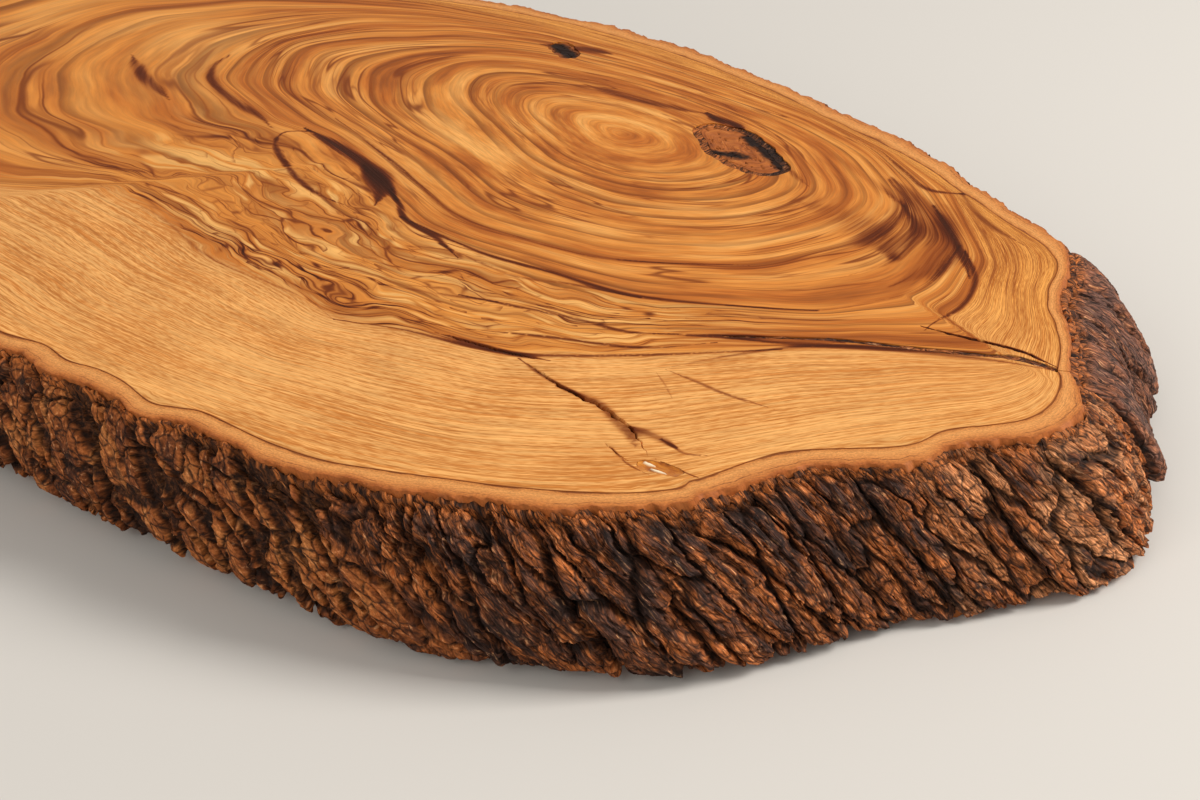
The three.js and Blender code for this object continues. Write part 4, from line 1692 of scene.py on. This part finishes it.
def plate_ways(plate, z, step):
    """Places along the rim for each cross-section and height of a plate, and the distance to its edges."""
    start, end, shift, _ = plate
    left = edge_line(start, shift, z) + PLATE_GAP
    right = edge_line(end, shift, z) - PLATE_GAP
    share = np.linspace(0, 1, round((end - start) / step))[:, None]
    way = left + (right - left) * share
    return way, np.minimum(way - left, right - way)


def edge_gap(way, z, to_edge):
    """How far a plate gapes at its edges, from 0 to 1."""
    gape = ramp(*GAPE_FROM, round_noise(261, way, z, GAPE_SIZE, 4))
    return (LEAST_GAPE + (1 - LEAST_GAPE) * gape) * ramp(EDGE_FISSURE, 0, to_edge)


# %% Cut the face of a plate
LEAST_CRUST = 0.5
DEEPEST_EDGE = 0.8
# at the back of a plate, cuts are only this share as deep, and they are full this far out
BACK_SHARE = 0.2
BACK_CALM = 1.6
# bark crumbles near its back and near the sawn face
CRUMBLY_BACK = (2.6, 0.4)
CRUMBLY_TOP = (THICKNESS - 2.4, THICKNESS - 0.5)
RAGGED = 1.0
RAGGED_SIZE = (1.7, 1.7)
RAGGED_FROM = (-0.2, 0.7)


def off_back(reach):
    return BACK_SHARE + (1 - BACK_SHARE) * ramp(0, BACK_CALM, reach)


def cut_face(name, line, way, up, to_edge):
    """How deep a plate's face is cut, where that is in its grain, and the numbers that its finish reads."""
    thick = plates[name][3] - SEAT
    reach, height = line.T
    deep, across, numbers = bark_relief(way, up, thick, name.startswith("rear"))
    fissure = edge_gap(way, height + 0 * way, to_edge)
    crumbly = np.maximum(ramp(*CRUMBLY_BACK, reach), ramp(*CRUMBLY_TOP, height)) + 0 * way
    ragged = ramp(*RAGGED_FROM, round_noise(271, way, up, RAGGED_SIZE))
    deep = (deep + EDGE_DEPTH * thick * fissure) * off_back(reach) + RAGGED * crumbly * ragged
    deep = np.minimum(deep, DEEPEST_EDGE * thick)
    # gaps and depth of the cuts, which the finish paints dark as painted shade
    numbers.update(gap=np.maximum(numbers["gap"], fissure), relief=deep, crumbly=crumbly)
    return deep, across, numbers


def crust_face(name, step):
    """A plate's outer face: way along the rim, way out and height, places in its grain, and its numbers."""
    thick = plates[name][3] - SEAT
    line, facing, up = plate_profile(thick, step)
    reach, height = line.T
    way, to_edge = plate_ways(plates[name], height, step)
    up = up + 0 * way
    deep, across, numbers = cut_face(name, line, way, up, to_edge)
    seat = bast_edge(way) + BAST_GAP
    base = seat + reach * (SEAT + thick - seat) / thick
    out = np.maximum(base - deep * facing[:, 0], seat + LEAST_CRUST * off_back(reach))
    out[:, 0], out[:, -1] = seat[:, 0], seat[:, -1]
    z = np.clip(height - deep * facing[:, 1], PLATE_FOOT, THICKNESS)
    return (way, out, z), (across, up, 0 * way), numbers


# %% Make a plate
CRUST_STEPS = {"corner": 0.34, "nose": 0.34, "front": 0.4, "rear": 0.42, "back": 0.7, "far": 0.7}
# what the finish of the crust reads at each point
CRUST_FIELDS = ("relief", "gap", "tone", "hollow", "scaly", "sunlit", "grey", "crumbly")


def give_crust_numbers(piece, places, **given):
    """Stores what the crust's finish reads, with zeros for what isn't given."""
    nothing = np.zeros(len(places))
    give_numbers(piece, grain_place=places, **{field: given.get(field, nothing) for field in CRUST_FIELDS})


def crust_plate(name, finish):
    """A plate with its weathered face and a plain back, which follows the inner bark."""
    step = CRUST_STEPS[name.split("_")[0]]
    face, grain, numbers = crust_face(name, step)
    z = face[2]
    back_z = np.linspace(z[:, -1], z[:, 0], BACK_ROWS + 2)[1:-1].T
    back_way, _ = plate_ways(plates[name], np.linspace(PLATE_FOOT, PLATE_TOP, BACK_ROWS + 2)[1:-1], step)
    back = (back_way, bast_edge(back_way) + BAST_GAP, back_z)
    hidden = np.zeros(back_z.shape)
    piece = make_skin(f"{name}_crust", on_rim(*(np.hstack(pair) for pair in zip(face, back))))
    back_grain = (back_way, back_z, hidden)
    places = np.stack([np.hstack(pair).ravel() for pair in zip(grain, back_grain)], axis=1)
    numbers = {field: np.hstack([values, hidden]).ravel() for field, values in numbers.items()}
    give_crust_numbers(piece, places, **numbers)
    dress(piece, finish, "bark", name)
    return len(places)


# %% Colours of the crust
STRANDY_STEPS = [
    (0.26, shade(66, 43, 36)),
    (0.41, shade(104, 62, 43)),
    (0.53, shade(150, 83, 43)),
    (0.67, shade(194, 110, 55)),
]
SCALY_STEPS = [
    (0.25, shade(84, 44, 24)),
    (0.42, shade(142, 77, 38)),
    (0.56, shade(174, 98, 48)),
    (0.74, shade(200, 124, 66)),
]
LAID_OPEN = shade(184, 104, 48)
# painted highlight on the tops of the strands
STRAND_TOP_HIGHLIGHT = shade(214, 158, 110)
MAUVE = shade(134, 94, 80)
# painted shade in fissures, fine gaps and deep cuts
FISSURE_PAINTED_SHADE = shade(30, 17, 11)
# painted light: the paler bark near the notch
PAINTED_LIGHT_PALE = shade(220, 150, 100)
BLOTCH_SIZE = (3.2, 9, 1)
PATCH_SIZE = (11, 24, 1)


def crust_colour(tree, place, grain, strand, numbers):
    """Weathered bark in patches, with a painted highlight on the tops of strands, painted light near the
    notch, and orange where it has just crumbled.
    """
    blotch = cloud(tree, place, BLOTCH_SIZE, 4.0, 0.65)
    patch = cloud(tree, place, PATCH_SIZE, 2.0)
    # near the notch the tone is also shifted paler, as painted light
    shown = mixed(tree, (blotch, 1.6), (patch, 0.9), (numbers["tone"], 0.25), (strand, 0.2),
                  (numbers["sunlit"], 0.12), (-0.98, 1.0))
    strandy = blend_steps(tree, shown, *STRANDY_STEPS)
    colour = tint(tree, numbers["scaly"], strandy, blend_steps(tree, shown, *SCALY_STEPS))
    colour = tint(tree, times(tree, numbers["grey"], 0.6), colour, MAUVE)
    # painted light: paler bark near the notch
    painted_light = times(tree, numbers["sunlit"], ease(tree, numbers["tone"], 0.35, 0.65, 0.0, 0.75))
    colour = tint(tree, painted_light, colour, PAINTED_LIGHT_PALE)
    # painted highlight on the tops of the strands
    top = times(tree, ease(tree, grain, 0.54, 0.68), ease(tree, strand, 0.3, 0.8, 0.1, 0.75))
    colour = tint(tree, top, colour, STRAND_TOP_HIGHLIGHT)
    fresh = mixed(tree, (numbers["hollow"], 0.3), (numbers["crumbly"], 0.9))
    return tint(tree, times(tree, fresh, ease(tree, grain, 0.36, 0.56)), colour, LAID_OPEN)


# %% Chips finer than the mesh
STRAND_SIZE = (0.62, 3.4, 1.0)
SHARD_SIZE = (1.5, 3.2, 1.0)
CRACKLE_SIZE = (2.4, 3.4, 1.0)


def fine_chips(tree, place, scaly):
    """What is finer than the mesh: dark lines of painted shade in its gaps, the domes between them, and a
    number for each strand.
    """
    edge, strand = lenses(tree, place, STRAND_SIZE)
    shard, _ = lenses(tree, place, SHARD_SIZE)
    crackle, _ = lenses(tree, place, CRACKLE_SIZE)
    strand_lines = ease(tree, edge, 0.0, 0.1, 0.65, 0.0)
    shard_lines = ease(tree, shard, 0.0, 0.1, 0.95, 0.0)
    crackle_lines = ease(tree, crackle, 0.0, 0.08, 0.95, 0.0)
    lines = between(tree, scaly, larger(tree, strand_lines, shard_lines), crackle_lines)
    chip_dome = mixed(tree, (ease(tree, edge, 0.0, 0.3), 0.4), (ease(tree, shard, 0.0, 0.22), 0.8))
    dome = between(tree, scaly, chip_dome, ease(tree, crackle, 0.0, 0.12))
    return lines, dome, strand


# %% Finish of the crust
CRUST_FIBRE_SIZE = (0.42, 2.6, 1)
CRUST_SAND_SIZE = (0.7, 1.0, 1)
CRUST_ROUGHNESS = 0.7
CRUST_SHEEN = 0.2
CRUST_GRAIN = 0.7


def crust_finish():
    finish, tree, shader = new_finish("crust")
    place = stored(tree, "grain_place").outputs["Vector"]
    numbers = {field: stored(tree, field).outputs["Fac"] for field in CRUST_FIELDS}
    scaly = numbers["scaly"]
    fibres = cloud(tree, place, CRUST_FIBRE_SIZE, 4.0, 0.68)
    sand = cloud(tree, place, CRUST_SAND_SIZE, 4.0, 0.68)
    grain = between(tree, scaly, fibres, sand)
    lines, dome, strand = fine_chips(tree, place, scaly)
    colour = crust_colour(tree, place, grain, strand, numbers)
    strandy_light = ease(tree, grain, 0.33, 0.67, 0.3, 1.6)
    scaly_light = ease(tree, grain, 0.34, 0.66, 0.5, 1.3)
    colour = brightened(tree, colour, between(tree, scaly, strandy_light, scaly_light))
    # painted shade: dark in fine gaps, in fissures and where the cuts are deep
    dark = larger(tree, lines, ease(tree, numbers["gap"], 0.2, 0.7))
    dark = larger(tree, dark, ease(tree, numbers["relief"], 2.4, 4.2))
    dark = times(tree, dark, ease(tree, grain, 0.7, 0.3, 0.75, 1.0))
    tree.links.new(tint(tree, dark, colour, FISSURE_PAINTED_SHADE), shader.inputs["Base Color"])
    shader.inputs["Roughness"].default_value = CRUST_ROUGHNESS
    shader.inputs["Specular IOR Level"].default_value = CRUST_SHEEN
    grain_relief(tree, shader, mixed(tree, (dome, 0.5), (grain, 0.8)), CRUST_GRAIN)
    return finish


crust = crust_finish()
plate_points = sum(crust_plate(name, crust) for name in plates)
print("crust:", len(plates), "plates with", plate_points, "points")

# %% [markdown]
# ## Grown-in bark
# The trunk was two stems that grew together. The bark between them stayed caught as a thin sheet
# that runs from the notch into the wood. On the sawn face it is a dark, crumbling line. It fills
# its slot from top to foot, so it is one more skin of cross-sections, along the seam this time.

# %% The sheet of grown-in bark
SHEET_ACROSS = 7
SHEET_DOWN = 5
SHEET_DROP = 0.3
SHEET_CRUMB_SIZE = 1.3
SHEET_DOME = 0.4
# tones of bark that sits in the wood vary at this size
CRUMB_TONE_SIZE = 1.5
SHEET_RELIEF = 2.9


def sheet_outlines():
    """The closed outlines of the sheet along its seam, and places across and along it, in millimetres."""
    share = np.linspace(-1, 1, SHEET_ACROSS)
    x, y = (seam_line[:, [axis]] / SHEET_CRUMB_SIZE for axis in (0, 1))
    crumb = rough(301, x + 0 * share, y + share)
    top = THICKNESS - SHEET_DROP * (1 + crumb) * (1 - SHEET_DOME * share ** 2)
    down = np.linspace(0, 1, SHEET_DOWN + 1)[1:]
    right = top[:, -1:] * (1 - down) + BAST_FOOT * down
    left = BAST_FOOT * (1 - down) + top[:, :1] * down
    sides = np.concatenate([share, np.ones(SHEET_DOWN), -np.ones(SHEET_DOWN)])
    heights = np.hstack([top, right, np.full((len(top), 1), BAST_FOOT), left[:, :-1]])
    flat = np.stack([beside(seam_line, seam_half * side) for side in sides], axis=1)
    flat = flat + LEAN * (1 - heights / THICKNESS)[..., None]
    along = np.concatenate([[0], np.cumsum(np.hypot(*np.diff(seam_line, axis=0).T))])
    places = np.stack(np.broadcast_arrays(seam_half[:, None] * sides, along[:, None], heights), axis=-1)
    return np.concatenate([flat, heights[..., None]], axis=-1), places.reshape(-1, 3)


def make_sheet():
    outlines, places = sheet_outlines()
    sheet = make_skin("included_bark_sheet", outlines)
    crumb = rough_at(305, outlines.reshape(-1, 3), CRUMB_TONE_SIZE)
    give_crust_numbers(sheet, places, relief=SHEET_RELIEF + 0.6 * crumb, tone=0.4 + 0.5 * crumb)
    dress(sheet, crust, "bark", "included_bark")
    return len(places)


print("grown-in bark:", make_sheet(), "points")

# %% [markdown]
# ## Knots and gum
# A knot is a branch cut across: hard, dark, ringed and checked. The larger one still has a sleeve
# of its own bark round it. The gum pocket is resin that set in the crack. All of them are plugs
# with a wavy edge, sunk into the sockets that were left in the slab. A plug is made of loops: up
# its side, over the edge, and in smaller and smaller loops to its middle.

# %% A plug
PLUG_RINGS = 26
PLUG_SIDES = 4
PLUG_MIDDLE = 0.03


def make_plug(name, edge, floor, height_at):
    """A plug with the given edge. Its top follows a height that is worked out from share and place."""
    middle = edge.mean(axis=0)
    shares = np.linspace(1, PLUG_MIDDLE, PLUG_RINGS)
    loops = []
    for share in shares:
        flat = middle + (edge - middle) * share
        loops.append(np.column_stack([flat, height_at(share, flat)]))
    side = []
    for part in np.linspace(0, 1, PLUG_SIDES, endpoint=False):
        side.append(np.column_stack([edge, floor + (loops[0][:, 2] - floor) * part]))
    outlines = np.stack([*side, *loops])
    share = np.repeat(np.concatenate([np.ones(PLUG_SIDES), shares]), len(edge))
    return make_skin(name, outlines), share, outlines.reshape(-1, 3)


# %% Finish of the knots
KNOT_STEPS = [
    (0.3, shade(104, 50, 22)),
    (0.44, shade(150, 80, 36)),
    (0.56, shade(178, 100, 46)),
    (0.72, shade(202, 126, 60)),
]
KNOT_BLACK = shade(34, 18, 12)
KNOT_RING_SIZE = (0.7, 7, 7)
KNOT_BROAD_SIZE = (4, 6, 6)
KNOT_ROUGHNESS = 0.55
KNOT_SHEEN = 0.15
KNOT_GRAIN = 0.08


def knot_finish():
    finish, tree, shader = new_finish("knot_wood")
    place = stored(tree, "knot_place").outputs["Vector"]
    dark = stored(tree, "dark").outputs["Fac"]
    rings = cloud(tree, place, KNOT_RING_SIZE, 3.0, 0.6)
    broad = cloud(tree, place, KNOT_BROAD_SIZE, 2.0)
    tone = mixed(tree, (rings, 0.5), (broad, 0.5))
    colour = blend_steps(tree, tone, *KNOT_STEPS)
    colour = tint(tree, dark, colour, KNOT_BLACK)
    tree.links.new(colour, shader.inputs["Base Color"])
    shader.inputs["Roughness"].default_value = KNOT_ROUGHNESS
    shader.inputs["Specular IOR Level"].default_value = KNOT_SHEEN
    grain_relief(tree, shader, rings, KNOT_GRAIN)
    return finish


# %% The top of a knot
# how far a knot lies below the face, and how deep it is worn, with the share that is worn anywhere
KNOT_DROP = 0.12
KNOT_DIP = 0.25
KNOT_WORN = 0.4
WORN_SIZE = 2.5
# checks run out from the middle: how many, how wide, how deep, from where, and how they sway
CHECK_COUNT = 7
CHECK_WIDTH = 0.16
CHECK_DEPTH = 0.5
CHECK_FROM = (0.2, 0.6)
CHECK_SWAY = 3
CHECK_SWAY_SIZE = 5


def bearing_from(middle, flat):
    return np.arctan2(*(flat - middle).T[::-1])


def knot_top(middle):
    """The height of a knot's top, as a function of the share of the way out and the place."""
    def height_at(share, flat):
        sway = CHECK_SWAY * rough_at(311, flat, CHECK_SWAY_SIZE)
        wave = np.sin(bearing_from(middle, flat) * CHECK_COUNT / 2 + sway)
        check = CHECK_DEPTH * ramp(CHECK_WIDTH, 0.0, np.abs(wave)) * ramp(*CHECK_FROM, share)
        worn = KNOT_DIP * (KNOT_WORN + (1 - KNOT_WORN) * rough_at(315, flat, WORN_SIZE))
        return THICKNESS - KNOT_DROP - np.maximum(worn, 0) - check

    return height_at


# %% Dark marks on the knots
# knot: dark marks on it, each with half its width and the points it goes through
KNOT_MARKS = {
    "branch_knot": [
        (2.3, [(38.5, 50.6), (43.3, 52.8), (49, 54.8)]),
        (2.6, [(44, 64), (50, 61), (56.5, 57.8), (62, 54.5)]),
    ],
    "pin_knot": [(3.4, [(-23.5, 78), (-20, 76.8), (-16.5, 75.5)])],
}
MARK_CORE = 0.3
MARK_RAGGED = 0.8
# painted shade: checks, worn hollows and the plug's side turn black between these depths
PIT_SHADE_DEPTHS = (0.3, 0.8)


def knot_darkness(name, points):
    """How dark a knot is at its points: black in its marks, and black as painted shade in its checks,
    hollows and down its side.
    """
    # painted shade: the deeper, the darker
    dark = ramp(*PIT_SHADE_DEPTHS, THICKNESS - points[:, 2])
    ragged = MARK_RAGGED * rough_at(317, points, WORN_SIZE)
    for half, places in KNOT_MARKS[name]:
        distance, _ = near_line(points[:, :2], curve_through(places, STROKE_STEPS))
        dark = np.maximum(dark, ramp(half, MARK_CORE * half, distance + ragged))
    return dark


# %% Make the knots
KNOT_ROUND = 8


def make_knot(name, finish):
    edge = inlay_line(name, 0.0)
    middle = edge.mean(axis=0)
    reach = np.hypot(*(edge - middle).T).max()
    knot, share, points = make_plug(f"{name}_plug", edge, SOCKETS[name][2], knot_top(middle))
    bearing = bearing_from(middle, points[:, :2])
    place = np.stack([share * reach, KNOT_ROUND * np.cos(bearing), KNOT_ROUND * np.sin(bearing)], axis=1)
    give_numbers(knot, knot_place=place, dark=knot_darkness(name, points))
    dress(knot, finish, "knot_wood", name)
    return len(points)


knot_wood = knot_finish()
for knot_name in KNOT_MARKS:
    print(knot_name, "has", make_knot(knot_name, knot_wood), "points")

# %% The sleeve of bark round the branch knot
SLEEVE_ROWS = 6
SLEEVE_TOP = THICKNESS - 0.1
SLEEVE_DROP = 0.25
# the part of an arch that its top follows, and the size of its crumbs
SLEEVE_ARCH = (0.15, 0.85)
SLEEVE_CRUMB_SIZE = 1.2
# the sleeve is darkest on this side, and it is crumbly and paler on the other
SLEEVE_REAR = (0.6, 0.8)
SLEEVE_DARK = (-2, 5)
SLEEVE_PALE = (3, -2)


def sleeve_outlines():
    """Cross-sections of the sleeve round the knot, with the first one again at the end."""
    inner = inlay_line("branch_knot", SOCKET_GAP)
    outer = inlay_line("branch_knot", SLEEVE_OUT - SOCKET_GAP)
    share = np.linspace(0, 1, SLEEVE_ROWS)
    flat = inner[:, None] + (outer - inner)[:, None] * share[:, None]
    arch = np.sin(np.pi * np.linspace(*SLEEVE_ARCH, SLEEVE_ROWS))
    top = SLEEVE_TOP - SLEEVE_DROP * (1 + rough_at(321, flat, SLEEVE_CRUMB_SIZE)) * arch
    rows = [np.concatenate([flat, np.minimum(top, THICKNESS)[..., None]], axis=-1)]
    floor = np.full((len(inner), 1), SOCKETS["branch_knot"][2])
    rows += [np.hstack([edge, floor])[:, None] for edge in (outer, inner)]
    outlines = np.concatenate(rows, axis=1)
    return np.concatenate([outlines, outlines[:1]])


def make_sleeve():
    outlines = sleeve_outlines()
    middle = outlines[:-1, 0, :2].mean(axis=0)
    faces = skin_faces(*outlines.shape[:2])
    sleeve = make_piece("knot_bark_sleeve_ring", outlines.reshape(-1, 3), faces)
    weld(sleeve)
    points = piece_points(sleeve)
    crumb = rough_at(325, points, CRUMB_TONE_SIZE)
    to_rear = (points[:, :2] - middle) @ SLEEVE_REAR
    relief = 1.8 + 2.2 * ramp(*SLEEVE_DARK, to_rear) + 0.8 * crumb
    crumbly = ramp(*SLEEVE_PALE, to_rear)
    give_crust_numbers(sleeve, points, relief=relief, tone=0.5 + 0.5 * crumb, crumbly=crumbly)
    dress(sleeve, crust, "bark", "knot_bark_sleeve")
    return len(points)


print("sleeve:", make_sleeve(), "points")

# %% The gum pocket
GUM_STEPS = [
    (0.3, shade(134, 66, 12)),
    (0.45, shade(176, 96, 20)),
    (0.6, shade(202, 122, 34)),
    (0.75, shade(226, 152, 62)),
]
# painted highlight: the pale glint on the gum's ridges
GUM_GLINT = shade(252, 232, 196)
SWIRL_SIZE = (2.4, 0.9, 2)
GUM_ROUGHNESS = 0.15
# how far the gum lies below the face, how far it has sunk in its middle, how flat it is there
GUM_DROP = 0.08
GUM_SAG = 0.35
GUM_FLATNESS = 4
GUM_BULGE = 0.25
GLINT_RIDGE_TIP = 0.3
GLINT_RIDGE_CORE = 0.3
# low raised ridges on the gum, painted with a pale glint: half their width, and from where to where
GUM_GLINT_RIDGES = [(0.5, (111.9, -56.2), (114.2, -55.9)), (0.5, (114.2, -57), (117.2, -56.6))]


def gum_finish():
    finish, tree, shader = new_finish("gum")
    place = stored(tree, "knot_place").outputs["Vector"]
    bubble = stored(tree, "bubble").outputs["Fac"]
    swirl = cloud(tree, place, SWIRL_SIZE, 3.0)
    amber = blend_steps(tree, swirl, *GUM_STEPS)
    # painted highlight: the ridges get a pale glint
    tree.links.new(tint(tree, bubble, amber, GUM_GLINT), shader.inputs["Base Color"])
    shader.inputs["Roughness"].default_value = GUM_ROUGHNESS
    return finish


def bubble_at(flat):
    """How far into a glint ridge points of the gum are, from 0 to 1. The ridges are raised and painted with
    a pale glint.
    """
    inside = np.zeros(len(flat))
    for half, *ends in GUM_GLINT_RIDGES:
        distance, share = near_line(flat, np.array(ends))
        lens = half * (GLINT_RIDGE_TIP + (1 - GLINT_RIDGE_TIP) * np.sin(np.pi * share))
        inside = np.maximum(inside, ramp(lens, GLINT_RIDGE_CORE * lens, distance))
    return inside


def make_gum():
    def height_at(share, flat):
        sag = GUM_SAG * (1 - share ** GUM_FLATNESS)
        return THICKNESS - GUM_DROP - sag + GUM_BULGE * bubble_at(flat) * (share < 1)

    edge = inlay_line("gum_pocket", 0.0)
    gum, _, points = make_plug("gum_pocket_drop", edge, SOCKETS["gum_pocket"][2], height_at)
    give_numbers(gum, knot_place=points, bubble=bubble_at(points[:, :2]))
    dress(gum, gum_finish(), "gum", "gum_pocket")
    return len(points)


print("gum pocket:", make_gum(), "points")
